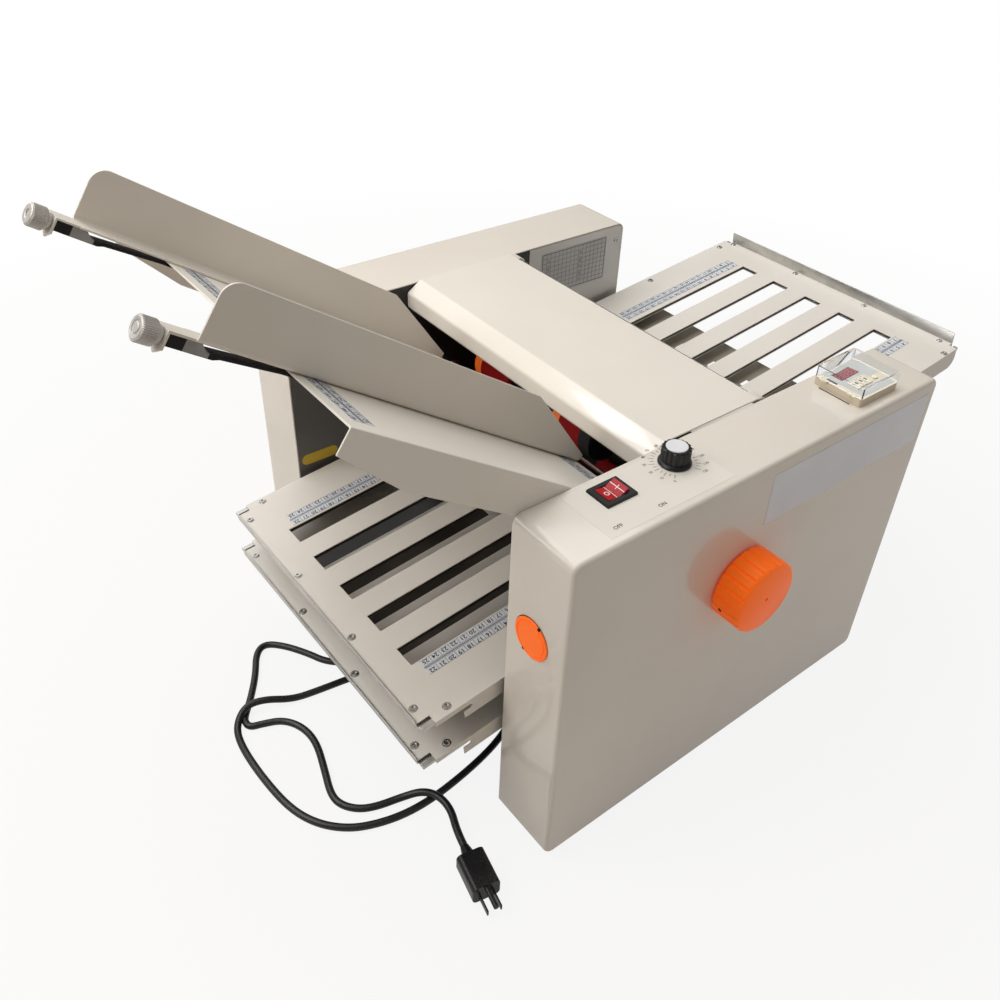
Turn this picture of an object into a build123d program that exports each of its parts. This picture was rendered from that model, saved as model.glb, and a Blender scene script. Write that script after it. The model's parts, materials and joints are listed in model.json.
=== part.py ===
from build123d import *
from math import acos, atan2, cos, degrees, pi, radians, sin, tan
import os

# Paper folding machine: a sloping feed table between two side boxes, six fold rollers, and
# buckle fold plates, two on the left and one on the right. Lengths are millimetres, angles degrees.
# X runs with the paper, left to right, Y from the operator's side to the far side, Z up.
# The origin lies on the resting plane, under the middle of the machine's outline.

# Side boxes and frame
body_length = 446.0
body_height = 349.0
body_width = 501.0
near_box_depth = 70.0
far_box_depth = 74.0
shell_wall = 1.5
shell_corner = 9.0
shell_edge = 4.0
side_plate_thickness = 3.0
seat_gap = 0.3
foot_height = 6.0
foot_radius = 12.0
foot_inset = 34.0
pan_sheet = 2.0
pan_flange = 16.0
pan_start = 200.0
pan_end_inset = 14.0
pan_height = 6.0
tie_rod_radius = 5.0
tie_rod_inset = 30.0
tie_rod_drop = 159.0
low_rod_x = 250.0
low_rod_z = 34.0
overrun = 2.0

# Feed table
table_tilt = 34.6
table_length = 312.0
table_end_x = 132.2
table_end_drop = 51.2
table_sheet = 1.5
table_flange_short = 20.0
table_flange_deep = 33.0
table_flange_run = 66.0

# Side guides of the feed table
paper_width = 210.0
guide_sheet = 1.5
guide_height = 43.0
guide_overhang = 69.0
guide_floor_width = 18.0
guide_floor_lift = 0.3
guide_corner = 12.0
guide_nose_run = 88.0
guide_nose_height = 8.0
guide_tail_gap = 1.0
guide_bend = 2.5
tongue_reach = 17.4
tongue_width = 16.0
tab_drop = 12.0
tab_point = 5.0
clamp_height = 8.0
clamp_width = 12.0
clamp_hook = 14.0
clamp_toe = 4.0
clamp_block = 22.0
clamp_nose = 10.0
clamp_step = 4.5
clamp_strip = 2.0
lock_screw_end = 12.0
lock_knob_radius = 8.0
lock_knob_length = 12.3
lock_collar_radius = 6.0
lock_collar_length = 3.0
lock_screw_radius = 3.0
lock_recess_radius = 3.5
lock_recess_depth = 4.0
knob_axis_drop = 4.0
knob_edge = 0.8

# Fold plates
plate_tilt = 6.8
plate_width = 345.4
plate_sheet = 1.2
paper_gap = 2.4
slot_width = 23.2
slot_pitch = 49.5
slot_count = 5
end_tab_inset = 9.5
rail_width = 5.0
left_plate_length = 283.0
left_plate_inner_x = 203.6
upper_left_drop = 158.6
lower_left_drop = 206.6
left_slot_margin = 29.5
left_slot_end = 56.5
left_notch = 12.3
left_flange_shallow = 6.0
left_flange_deep = 19.0
left_hook_start = 40.0
hook_slot_height = 4.4
hook_slot_length = 9.0
hook_slot_rise = 3.0
left_lip_rise = 2.6
right_plate_length = 330.0
right_plate_inner_x = 310.3
right_plate_drop = 103.5
right_slot_margin = 37.5
right_slot_end = 95.5
right_notch = 4.5
right_flange_deep = 22.0
right_flange_corner = 12.0
right_lip_rise = 13.0
stop_bar_width = 18.0
stop_bar_play = 0.3
stop_post_radius = 3.0
stop_post_slots = 2
thumb_nut_radius = 8.0
thumb_nut_height = 9.0
stop_margin = 3.0
pin_radius = 4.0
pin_inset = 30.0

# Short plate under the right fold plate
short_plate_length = 168.0
short_plate_drop = 14.0
short_plate_bend = 9.0
short_window_length = 12.0
short_window_width = 18.0
short_window_inset = 126.5

# Rollers, gears and drive
roller_pitch = 40.0
roller_gap = 0.4
roller_journal = 6.0
roller_end_gap = 6.0
roller_to_gear = 2.0
gear_module = 2.0
gear_teeth = 20
drive_teeth = 47
gear_width = 10.0
gear_backlash = 0.5
gear_addendum_share = 0.85
gear_dedendum_share = 1.15
pressure_angle = 20.0
hub_radius = 11.0
hub_length = 4.0
bore_clearance = 0.05
bearing_radius = 10.0
drive_x = 198.5
drive_drop = 117.5
drive_to_second_angle = -11.5
first_roller_angle = 86.5
third_roller_angle = -83.0
fourth_roller_angle = 200.5
fifth_roller_angle = -85.0
sixth_roller_angle = 3.0
feed_x = 185.0
feed_drop = 56.0
feed_tyre_radius = 25.0
feed_tyre_length = 44.0
feed_ring_length = 11.0
feed_hub_radius = 18.0
feed_near_y = 160.0
feed_far_y = 281.0
feed_shaft_radius = 6.0
separator_width = 60.0
separator_thickness = 8.0
separator_length = 30.0
separator_gap = 0.4
separator_bar_width = 16.0
separator_bar_height = 10.0
belt_thickness = 2.0
belt_width = 9.0
belt_play = 0.3
motor_gap = 3.0
motor_z = 62.0
motor_radius = 38.0
motor_length = 120.0
motor_shaft_radius = 4.0
motor_pulley_radius = 12.0
drive_pulley_radius = 36.0
feed_pulley_radius = 16.0
pulley_width = 11.0

# Handwheel and switches on the near box
wheel_radius = 35.0
wheel_thickness = 29.0
wheel_gap = 2.5
wheel_flutes = 22
wheel_flute_radius = 2.6
wheel_dish_depth = 2.0
wheel_dish_radius = 26.0
wheel_bore_radius = 6.0
rocker_x = 78.0
rocker_y = 47.6
rocker_length = 31.0
rocker_width = 25.5
rocker_rim = 1.8
rocker_frame = 2.6
rocker_body_depth = 20.0
rocker_crown = 3.0
rocker_play = 0.4
rocker_half = 9.9
rocker_end_rise = 5.5
rocker_sink = 6.0
rocker_pivot_radius = 1.6
rocker_pivot_drop = 1.0
rocker_pin_reach = 1.5
rocker_bezel_slope = 12.0
rocker_angle = 9.0
speed_x = 146.0
speed_y = 48.2
speed_skirt_radius = 13.8
speed_skirt_height = 3.0
speed_grip_radius = 11.4
speed_height = 16.5
speed_flutes = 18
speed_flute_radius = 1.1
speed_shaft_radius = 3.0
speed_lift = 0.4
speed_pot_radius = 12.0
speed_pot_depth = 10.0

# Counter on the near box
counter_end_inset = 53.0
counter_y = 11.5
counter_length = 55.0
counter_width = 50.5
counter_base_height = 8.0
counter_body_depth = 45.0
counter_body_inset = 4.0
counter_corner = 2.5
counter_lid_height = 11.0
counter_lid_wall = 1.4
counter_seam = 0.3
counter_key_radius = 2.6
counter_key_rise = 1.8
counter_key_depth = 5.0
counter_key_in = 40.0
counter_key_back = 15.8
counter_key_play = 0.25
digit_key_length = 5.0
digit_key_width = 13.0
digit_key_rise = 1.4
digit_key_depth = 5.0
digit_key_pitch = 6.6
digit_key_in = 22.4
digit_key_back = 18.4
counter_window_in = 25.2
counter_window_back = 36.1
counter_window_length = 24.0
counter_window_width = 12.5
counter_window_depth = 1.0
digit_count = 3
counter_key_travel = 1.2
lid_hinge_out = 1.4
lid_hinge_rise = 0.15
lid_knuckle_radius = 1.1
lid_pin_radius = 0.6
lid_knuckle_length = 4.0
lid_knuckle_inset = 6.0

# Access cap on the left end
cap_y = 39.5
cap_drop = 101.0
cap_radius = 20.0
cap_rise = 3.0
cap_neck_radius = 17.0
cap_neck_depth = 6.0
cap_groove_radius = 15.0
cap_groove_width = 1.5
cap_groove_depth = 1.0
cap_edge = 0.8

# Top cover over the feed roller
cover_sheet = 1.5
cover_gap = 1.0
cover_rise = 1.5
cover_top_start = 157.0
cover_top_end = 273.0
cover_front_x = 141.5
cover_front_top_drop = 9.0
cover_front_low_drop = 24.0
cover_lip_x = 149.5
cover_lip_drop = 32.5
cover_bend = 3.0
cover_end_height = 16.0
hinge_rod_radius = 2.5
hinge_x = 279.0
hinge_drop = 4.0
hinge_lug_radius = 4.6
hinge_lug_length = 14.0
hinge_web = 1.5

# Mains lead, its gland and its plug
cord_diameter = 7.2
cord_radius = cord_diameter / 2
gland_length = 26.0
gland_radius_wide = 7.0
gland_radius_narrow = 4.6
gland_flange = 9.5
gland_flange_thickness = 2.5
gland_x = 130.0
gland_z = 24.0
gland_nut_thickness = 5.0
plug_length = 36.0
plug_width = 26.0
plug_height = 21.0
plug_neck_length = 12.0
plug_neck_radius = 6.5
blade_length = 17.0
blade_height = 6.4
blade_thickness = 1.5
blade_spacing = 12.7
earth_pin_radius = 2.4
earth_pin_length = 20.0
earth_pin_drop = 6.5
plug_corner = 5.0
blade_row = 3.0
cord_slack = 0.6
arc_share = 0.45
gland_lift = gland_z + foot_height
hump = cord_diameter + cord_radius + cord_slack
plug_lift = plug_height / 2
# Route of the lead: x, y and height of its middle above the floor
cord_route = [
    (130.0, 78.0, gland_lift), (130.0, 108.0, gland_lift), (125.0, 133.0, 15.0),
    (107.0, 149.0, cord_radius), (80.0, 146.0, cord_radius), (46.7, 128.9, cord_radius),
    (8.6, 118.9, cord_radius), (-40.3, 112.0, cord_radius), (-73.2, 112.6, cord_radius),
    (-101.2, 119.4, cord_radius), (-125.4, 131.1, cord_radius), (-145.8, 152.8, cord_radius),
    (-158.1, 182.7, cord_radius), (-162.8, 229.4, cord_radius), (-162.7, 272.1, cord_radius),
    (-156.8, 297.5, cord_radius), (-140.2, 310.1, hump), (-120.2, 306.4, hump),
    (-94.6, 295.6, cord_radius), (-65.4, 290.4, cord_radius), (-37.1, 286.4, cord_radius),
    (-23.0, 283.5, cord_radius), (-10.5, 287.0, cord_radius), (-8.0, 298.0, cord_radius),
    (-17.0, 306.5, cord_radius), (-31.0, 311.0, cord_radius), (-43.5, 324.0, cord_radius),
    (-51.3, 341.7, cord_radius), (-66.5, 367.1, cord_radius), (-83.0, 383.0, cord_radius),
    (-97.0, 375.0, cord_radius), (-111.1, 347.3, cord_radius), (-129.5, 321.2, cord_radius),
    (-140.5, 308.5, cord_radius), (-147.0, 299.0, cord_radius), (-146.0, 289.0, cord_radius),
    (-134.3, 285.5, cord_radius), (-115.1, 277.6, cord_radius), (-103.4, 258.1, cord_radius),
    (-101.7, 232.8, cord_radius), (-111.5, 199.5, cord_radius), (-120.1, 172.9, cord_radius),
    (-118.6, 157.4, cord_radius), (-107.6, 143.2, cord_radius), (-91.8, 135.5, cord_radius),
    (-69.0, 130.5, cord_radius), (-52.0, 119.9, hump), (-42.4, 106.5, hump),
    (-41.5, 87.6, plug_lift), (-50.3, 66.2, plug_lift), (-53.7, 50.0, plug_lift),
]
plug_tip = (-63.8, 2.1)

# Outline of the machine, from which its middle is worked out
tilt = radians(table_tilt)
plate_lean = radians(plate_tilt)
table_start_x = table_end_x - table_length * cos(tilt)
table_start_z = body_height - table_end_drop + table_length * sin(tilt)
left_plate_x = left_plate_inner_x - left_plate_length * cos(plate_lean)
upper_left_z = body_height - upper_left_drop - left_plate_length * sin(plate_lean)
lower_left_z = body_height - lower_left_drop - left_plate_length * sin(plate_lean)
right_plate_x = right_plate_inner_x + right_plate_length * cos(plate_lean)
right_plate_z = body_height - right_plate_drop + right_plate_length * sin(plate_lean)
left_slots = left_plate_length - left_slot_margin - left_slot_end
right_slots = right_plate_length - right_slot_margin - right_slot_end
drive_z = body_height - drive_drop
feed_z = body_height - feed_drop
cap_z = body_height - cap_drop
hinge_z = body_height - hinge_drop
counter_x = body_length - counter_end_inset - counter_length
knob_tip = guide_overhang + tongue_reach + lock_collar_length + lock_knob_length
knob_low = knob_axis_drop + lock_knob_radius - knob_edge
left_reach = table_start_x - knob_tip * cos(tilt) - knob_low * sin(tilt)
lip_foot = plate_sheet + paper_gap + plate_sheet
right_reach = right_plate_x + plate_sheet * cos(radians(plate_tilt)) + lip_foot * sin(radians(plate_tilt))
wheel_reach = wheel_gap + wheel_thickness
body_left = -(left_reach + right_reach) / 2
body_front = -(body_width - wheel_reach) / 2
near_inner = near_box_depth
far_inner = body_width - far_box_depth
middle_y = (near_inner + far_inner) / 2
inner_width = far_inner - near_inner


def upright(y):
    """Sketch plane at depth y: local X is X, local Y is Z; a negative amount grows to the far side."""
    return Plane(origin=(body_left, body_front + y, foot_height), x_dir=(1, 0, 0), z_dir=(0, -1, 0))


def level(z):
    """Horizontal sketch plane at height z above the bottom of the side boxes."""
    return Plane(origin=(body_left, body_front, foot_height + z), x_dir=(1, 0, 0), z_dir=(0, 0, 1))


def endwise(x):
    """Sketch plane across the machine at x: local X is Y and local Y is Z."""
    return Plane(origin=(body_left + x, body_front, foot_height), x_dir=(0, 1, 0), z_dir=(1, 0, 0))


def tilted(x, z, angle, inward):
    """Plane on a sloping plate: local X runs along the slope, local Y across, local Z is its normal."""
    turn = radians(angle)
    return Plane(
        origin=(body_left + x, body_front + middle_y, foot_height + z),
        x_dir=(inward * cos(turn), 0, inward * sin(turn)),
        z_dir=(-sin(turn), 0, cos(turn)),
    )


def side_of(plane, y):
    """Plane that stands on a sloping plate at y, its local Y being the plate's normal."""
    spot = plane.from_local_coords(Vector(0, y, 0))
    return Plane(origin=spot, x_dir=plane.x_dir, z_dir=-plane.y_dir)


os.makedirs("parts", exist_ok=True)


def save(part, name):
    """Label a finished piece and write it as its own STEP file."""
    part.label = name
    export_step(part, f"parts/{name}.step")


# Roller axes, from the drive shaft on to each meshed neighbour, as places in the side view
def step_from(place, distance, angle):
    """The place that lies a distance from another, at an angle above +X."""
    return (place[0] + distance * cos(radians(angle)), place[1] + distance * sin(radians(angle)))


drive_place = (drive_x, drive_z)
drive_centre = gear_module * (drive_teeth + gear_teeth) / 2
roller_2 = step_from(drive_place, drive_centre, drive_to_second_angle)
roller_1 = step_from(roller_2, roller_pitch, first_roller_angle)
roller_3 = step_from(roller_2, roller_pitch, third_roller_angle)
roller_4 = step_from(roller_3, roller_pitch, fourth_roller_angle)
roller_5 = step_from(roller_4, roller_pitch, fifth_roller_angle)
roller_6 = step_from(roller_5, roller_pitch, sixth_roller_angle)
roller_places = [roller_1, roller_2, roller_3, roller_4, roller_5, roller_6]
feed_place = (feed_x, feed_z)
motor_place = (roller_6[0] + roller_pitch / 2 + motor_radius + motor_gap, motor_z)


def meshed(place, angle, teeth, other, other_teeth):
    """Tooth angle of a gear that meshes with the gear at place."""
    line = degrees(atan2(other[1] - place[1], other[0] - place[0]))
    share = 0.5 - (line - angle) * teeth / 360
    return line + 180 - share * 360 / other_teeth


drive_angle = 0.0
angle_2 = meshed(drive_place, drive_angle, drive_teeth, roller_2, gear_teeth)
angle_1 = meshed(roller_2, angle_2, gear_teeth, roller_1, gear_teeth)
angle_3 = meshed(roller_2, angle_2, gear_teeth, roller_3, gear_teeth)
angle_4 = meshed(roller_3, angle_3, gear_teeth, roller_4, gear_teeth)
angle_5 = meshed(roller_4, angle_4, gear_teeth, roller_5, gear_teeth)
angle_6 = meshed(roller_5, angle_5, gear_teeth, roller_6, gear_teeth)
gear_angles = [angle_1, angle_2, angle_3, angle_4, angle_5, angle_6]

# Depths of the parts on the drive side
gear_y = far_inner + side_plate_thickness + roller_to_gear
pulley_y = gear_y + gear_width + hub_length + roller_to_gear
shaft_end_y = pulley_y + pulley_width + roller_to_gear
journal_front = near_inner - side_plate_thickness - roller_to_gear

# Side plates, inside the rims of the side boxes, with the bearing holes and the plate pins
plate_edge = shell_wall + seat_gap
bearing_places = roller_places + [drive_place, feed_place]
upper_left = tilted(left_plate_x, upper_left_z, plate_tilt, 1)
lower_left = tilted(left_plate_x, lower_left_z, plate_tilt, 1)
right_side = tilted(right_plate_x, right_plate_z, plate_tilt, -1)


def pin_place(x, start_x, start_z, drop):
    """Centre of a pin that carries a fold plate's flange at x."""
    rise = (x - start_x) * tan(radians(plate_tilt))
    return (x, start_z + rise - (drop + seat_gap + pin_radius) / cos(radians(plate_tilt)))


pin_places = []
for start_z in (upper_left_z, lower_left_z):
    for x in (pin_inset, left_plate_inner_x - pin_inset):
        pin_places.append(pin_place(x, left_plate_x, start_z, left_flange_deep))
for x in (right_plate_inner_x + pin_inset, body_length - pin_inset):
    pin_places.append(pin_place(x, right_plate_x, right_plate_z, right_flange_deep))
flange_side_gap = (inner_width - plate_width) / 2
pin_reach = flange_side_gap + plate_sheet


tie_places = [
    (body_length - tie_rod_inset, body_height - tie_rod_drop),
    (low_rod_x, low_rod_z),
]
gland_place = (gland_x, gland_z)


def side_plate(y, inward, holes, extra, extra_radius):
    """One upright frame plate from depth y, with riveted pins that reach inward."""
    with BuildPart() as plate:
        with BuildSketch(upright(y)):
            with Locations((body_length / 2, body_height / 2)):
                RectangleRounded(body_length - 2 * plate_edge, body_height - 2 * plate_edge, shell_corner - plate_edge)
            with Locations(*holes):
                Circle(bearing_radius + bore_clearance, mode=Mode.SUBTRACT)
            with Locations(extra):
                Circle(extra_radius, mode=Mode.SUBTRACT)
        extrude(amount=-side_plate_thickness)
        pin_face = y + side_plate_thickness if inward > 0 else y
        with BuildSketch(upright(pin_face)):
            with Locations(*pin_places):
                Circle(pin_radius)
        extrude(amount=-inward * pin_reach)
    return plate


near_plate_y = near_inner - side_plate_thickness
near_side_plate = side_plate(near_plate_y, 1, bearing_places, gland_place, gland_radius_wide + bore_clearance)
save(near_side_plate.part, "near_side_plate")
motor_hole = motor_shaft_radius * 2
far_side_plate = side_plate(far_inner, -1, bearing_places, motor_place, motor_hole)
save(far_side_plate.part, "far_side_plate")


# Side covers: bent sheet boxes, open towards the machine
with BuildPart() as near_side_cover:
    with BuildSketch(upright(0)):
        with Locations((body_length / 2, body_height / 2)):
            RectangleRounded(body_length, body_height, shell_corner)
    extrude(amount=-near_box_depth)
    fillet(near_side_cover.faces().sort_by(Axis.Y)[0].edges(), radius=shell_edge)
    offset(amount=-shell_wall, openings=near_side_cover.faces().sort_by(Axis.Y)[-1])
    with BuildSketch(level(body_height)):
        with Locations((rocker_x, rocker_y)):
            Rectangle(rocker_length - 2 * rocker_rim, rocker_width - 2 * rocker_rim)
        with Locations((speed_x, speed_y)):
            Circle(speed_shaft_radius + seat_gap)
        with Locations((counter_x + counter_length / 2, counter_y + counter_width / 2)):
            Rectangle(counter_length - 2 * counter_body_inset, counter_width - 2 * counter_body_inset)
    extrude(amount=-shell_wall - overrun, mode=Mode.SUBTRACT)
    with BuildSketch(upright(0)):
        with Locations(drive_place):
            Circle(wheel_bore_radius + seat_gap)
    extrude(amount=-shell_wall - overrun, mode=Mode.SUBTRACT)
    with BuildSketch(endwise(0)):
        with Locations((cap_y, cap_z)):
            Circle(cap_neck_radius + seat_gap)
    extrude(amount=shell_wall + overrun, mode=Mode.SUBTRACT)
save(near_side_cover.part, "near_side_cover")

with BuildPart() as far_side_cover:
    with BuildSketch(upright(far_inner)):
        with Locations((body_length / 2, body_height / 2)):
            RectangleRounded(body_length, body_height, shell_corner)
    extrude(amount=-far_box_depth)
    fillet(far_side_cover.faces().sort_by(Axis.Y)[-1].edges(), radius=shell_edge)
    offset(amount=-shell_wall, openings=far_side_cover.faces().sort_by(Axis.Y)[0])
save(far_side_cover.part, "far_side_cover")

# Base pan under the motor, tie rods between the side plates, and the feet
with BuildPart() as base_pan:
    pan_end = body_length - pan_end_inset
    with BuildSketch(level(pan_height)):
        with Locations(((pan_start + pan_end) / 2, middle_y)):
            Rectangle(pan_end - pan_start, inner_width)
    extrude(amount=pan_sheet)
    with BuildSketch(level(pan_height)):
        with Locations(
            ((pan_start + pan_end) / 2, near_inner + pan_sheet / 2),
            ((pan_start + pan_end) / 2, far_inner - pan_sheet / 2),
        ):
            Rectangle(pan_end - pan_start, pan_sheet)
    extrude(amount=pan_flange)
save(base_pan.part, "base_pan")

with BuildPart() as tie_rods:
    with BuildSketch(upright(near_inner)):
        with Locations(*tie_places):
            Circle(tie_rod_radius)
    extrude(amount=-inner_width)
    with BuildSketch(upright(near_inner)):
        with Locations((hinge_x, hinge_z)):
            Circle(hinge_rod_radius)
    extrude(amount=-inner_width)
save(tie_rods.part, "tie_rods")

with BuildPart() as rubber_feet:
    foot_rows = [near_box_depth / 2, body_width - far_box_depth / 2]
    foot_ends = [foot_inset, body_length - foot_inset]
    foot_places = [(x, y) for x in foot_ends for y in foot_rows]
    with BuildSketch(level(-foot_height)):
        with Locations(*foot_places):
            Circle(foot_radius)
    extrude(amount=foot_height, taper=-foot_height / 2)
save(rubber_feet.part, "rubber_feet")

# Feed table: a bent sheet whose side flanges deepen towards the rollers
table = tilted(table_start_x, table_start_z, -table_tilt, 1)
table_half = inner_width / 2 - seat_gap
with BuildPart() as feed_table:
    with BuildSketch(table.offset(-table_sheet)):
        with Locations((table_length / 2, 0)):
            Rectangle(table_length, 2 * table_half)
    extrude(amount=table_sheet)
    for y in (-table_half, table_half - table_sheet):
        with BuildSketch(side_of(table, y)):
            with BuildLine():
                Polyline(
                    (0, 0),
                    (0, -table_flange_short),
                    (table_flange_run, -table_flange_deep),
                    (table_length, -table_flange_deep),
                    (table_length, 0),
                    close=True,
                )
            make_face()
        extrude(amount=-table_sheet)
    long_edges = feed_table.edges().filter_by(lambda e: abs(e.length - table_length) < seat_gap)
    outer_edges = long_edges.filter_by(lambda e: abs(table.to_local_coords(e.center()).Z) < seat_gap)
    fillet(outer_edges, radius=table_sheet - seat_gap)
save(feed_table.part, "feed_table")


def bend_edge(edges, across, height):
    """The edges that run along the table at a place across it and above it."""
    found = []
    for edge in edges:
        spot = table.to_local_coords(edge.center())
        if abs(spot.Y - across) < seat_gap and abs(spot.Z - height) < seat_gap:
            found.append(edge)
    return found


# Side guides: each is an upright fence with a floor strip that lies under the paper's edge
def paper_guide(inward):
    """Fence at one paper edge; inward is +1 for the near one, whose floor points to the far side."""
    face = -inward * paper_width / 2
    wall = side_of(table, face)
    floor_z = guide_floor_lift
    nose = table_length - guide_tail_gap
    outward = -inward
    with BuildPart() as guide:
        with BuildSketch(wall):
            with BuildLine():
                Line((-guide_overhang, floor_z), (-guide_overhang, guide_height - guide_corner))
                CenterArc((-guide_overhang + guide_corner, guide_height - guide_corner), guide_corner, 90, 90)
                Polyline(
                    (-guide_overhang + guide_corner, guide_height),
                    (nose - guide_nose_run, guide_height),
                    (nose, guide_nose_height),
                    (nose, floor_z),
                    (-guide_overhang, floor_z),
                )
            make_face()
        extrude(amount=-outward * guide_sheet)
        with BuildSketch(table.offset(floor_z)):
            with Locations(((nose - guide_overhang) / 2, face + inward * guide_floor_width / 2)):
                Rectangle(nose + guide_overhang, guide_floor_width)
            with Locations((-guide_overhang - tongue_reach / 2, face + inward * guide_floor_width / 2)):
                Rectangle(tongue_reach, tongue_width)
        extrude(amount=guide_sheet)
        tab_plane = Plane(
            origin=table.from_local_coords(
                Vector(-guide_overhang - tongue_reach, face + inward * guide_floor_width / 2, floor_z)
            ),
            x_dir=table.y_dir,
            z_dir=table.x_dir,
        )
        with BuildSketch(tab_plane):
            with BuildLine():
                Polyline(
                    (-tongue_width / 2, guide_sheet),
                    (tongue_width / 2, guide_sheet),
                    (tongue_width / 2, guide_sheet - tab_drop),
                    (0, guide_sheet - tab_drop - tab_point),
                    (-tongue_width / 2, guide_sheet - tab_drop),
                    close=True,
                )
            make_face()
            with Locations((0, -knob_axis_drop - floor_z)):
                Circle(lock_screw_radius + bore_clearance, mode=Mode.SUBTRACT)
        extrude(amount=guide_sheet)
        face_out = face + outward * guide_sheet
        long_edges = guide.edges().filter_by(lambda e: e.length > nose)
        fillet(bend_edge(long_edges, face, floor_z + guide_sheet), radius=guide_bend)
        long_edges = guide.edges().filter_by(lambda e: e.length > nose)
        fillet(bend_edge(long_edges, face_out, floor_z), radius=guide_bend + guide_sheet)
    return guide


near_guide = paper_guide(1)
save(near_guide.part, "near_guide")
far_guide = paper_guide(-1)
save(far_guide.part, "far_guide")


def lock_knob(inward):
    """Knurled knob with its collar and screw, on an axis that runs along the table's slope."""
    y = -inward * paper_width / 2 + inward * guide_floor_width / 2
    spot = Vector(-guide_overhang - tongue_reach, y, -knob_axis_drop)
    with BuildPart() as knob:
        profile = Plane(origin=table.from_local_coords(spot), x_dir=-table.x_dir, z_dir=table.y_dir)
        collar_end = seat_gap + lock_collar_length
        knob_end = collar_end + lock_knob_length - seat_gap
        screw_start = guide_sheet + lock_screw_end
        with BuildSketch(profile):
            with BuildLine():
                Polyline(
                    (-screw_start, 0),
                    (-screw_start, lock_screw_radius),
                    (seat_gap, lock_screw_radius),
                    (seat_gap, lock_collar_radius),
                    (collar_end, lock_collar_radius),
                    (collar_end, lock_knob_radius - knob_edge),
                    (collar_end + knob_edge, lock_knob_radius),
                    (knob_end - knob_edge, lock_knob_radius),
                    (knob_end, lock_knob_radius - knob_edge),
                    (knob_end, lock_recess_radius),
                    (knob_end - lock_recess_depth, lock_recess_radius),
                    (knob_end - lock_recess_depth, 0),
                    close=True,
                )
            make_face()
        revolve(axis=Axis(profile.origin, profile.x_dir))
    return knob


near_lock_knob = lock_knob(1)
save(near_lock_knob.part, "near_lock_knob")
far_lock_knob = lock_knob(-1)
save(far_lock_knob.part, "far_lock_knob")


def clamp_bar(inward):
    """Block under the guide's tongue with a thin strip that reaches beneath the table's end."""
    y = -inward * paper_width / 2 + inward * guide_floor_width / 2
    bar_top = guide_floor_lift - seat_gap
    bar_start = -guide_overhang - tongue_reach + guide_sheet + seat_gap
    toe_top = -table_sheet - seat_gap
    block_end = bar_start + clamp_block
    with BuildPart() as bar:
        with BuildSketch(side_of(table, y - clamp_width / 2)):
            with BuildLine():
                Polyline(
                    (bar_start, bar_top),
                    (block_end, bar_top),
                    (block_end + clamp_step, bar_top - clamp_step),
                    (-clamp_toe, toe_top),
                    (clamp_hook, toe_top),
                    (clamp_hook, toe_top - clamp_strip),
                    (-clamp_toe, toe_top - clamp_strip),
                    (block_end + clamp_nose + clamp_step, bar_top - clamp_step - clamp_strip),
                    (block_end + clamp_nose, bar_top - clamp_height),
                    (bar_start, bar_top - clamp_height),
                    close=True,
                )
            make_face()
        extrude(amount=-clamp_width)
        screw_depth = lock_screw_end + overrun
        hole_plane = Plane(
            origin=table.from_local_coords(
                Vector(bar_start, y, -knob_axis_drop)
            ),
            x_dir=table.y_dir,
            z_dir=table.x_dir,
        )
        with BuildSketch(hole_plane):
            Circle(lock_screw_radius + bore_clearance)
        extrude(amount=screw_depth, mode=Mode.SUBTRACT)
    return bar


near_clamp_bar = clamp_bar(1)
save(near_clamp_bar.part, "near_clamp_bar")
far_clamp_bar = clamp_bar(-1)
save(far_clamp_bar.part, "far_clamp_bar")

# Fold plates: a slotted cover sheet with side flanges over a slotted backing sheet
slot_offsets = [(k - (slot_count - 1) / 2) * slot_pitch for k in range(slot_count)]
half_width = plate_width / 2
backing_top = -plate_sheet - paper_gap
backing_low = backing_top - plate_sheet
stop_back = stop_margin + stop_bar_width / 2


def fold_plate(plane, length, margin, slots, notch, flange_outline, corner):
    """Cover sheet of a fold plate, with notched outer corners and bent side flanges."""
    with BuildPart() as cover:
        with BuildSketch(plane.offset(-plate_sheet)):
            with Locations(((length + notch) / 2, 0)):
                Rectangle(length - notch, plate_width)
            with Locations((notch / 2, 0)):
                Rectangle(notch, plate_width - 2 * end_tab_inset)
            with Locations(*[(margin + slots / 2, y) for y in slot_offsets]):
                Rectangle(slots, slot_width, mode=Mode.SUBTRACT)
        extrude(amount=plate_sheet)
        for y in (-half_width, half_width - plate_sheet):
            with BuildSketch(side_of(plane, y)) as flange:
                with BuildLine():
                    Polyline(*flange_outline, close=True)
                make_face()
                if corner > 0:
                    low_corner = flange.vertices().sort_by(Axis.Y)[:2].sort_by(Axis.X)[0]
                    fillet(low_corner, radius=corner)
            extrude(amount=-plate_sheet)
    return cover


def plate_backing(plane, length, margin, slots, rise, openings):
    """Slotted sheet under a fold plate, with side rails and the bent-up strip at its outer end."""
    width = plate_width - 2 * plate_sheet - 2 * seat_gap
    reach = slots + stop_back + stop_post_radius + stop_margin
    with BuildPart() as backing:
        with BuildSketch(plane.offset(backing_low)):
            with Locations((length / 2, 0)):
                Rectangle(length, width)
            with Locations(*[(margin + reach / 2, y) for y in openings]):
                Rectangle(reach, slot_width, mode=Mode.SUBTRACT)
        extrude(amount=plate_sheet)
        with BuildSketch(plane.offset(backing_top)):
            with Locations(
                (length / 2, (width - rail_width) / 2),
                (length / 2, (rail_width - width) / 2),
            ):
                Rectangle(length, rail_width)
        extrude(amount=paper_gap)
        with BuildSketch(plane.offset(backing_low)):
            with Locations((-plate_sheet / 2, 0)):
                Rectangle(plate_sheet, plate_width - 2 * end_tab_inset)
        extrude(amount=rise - backing_low)
    return backing


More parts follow.
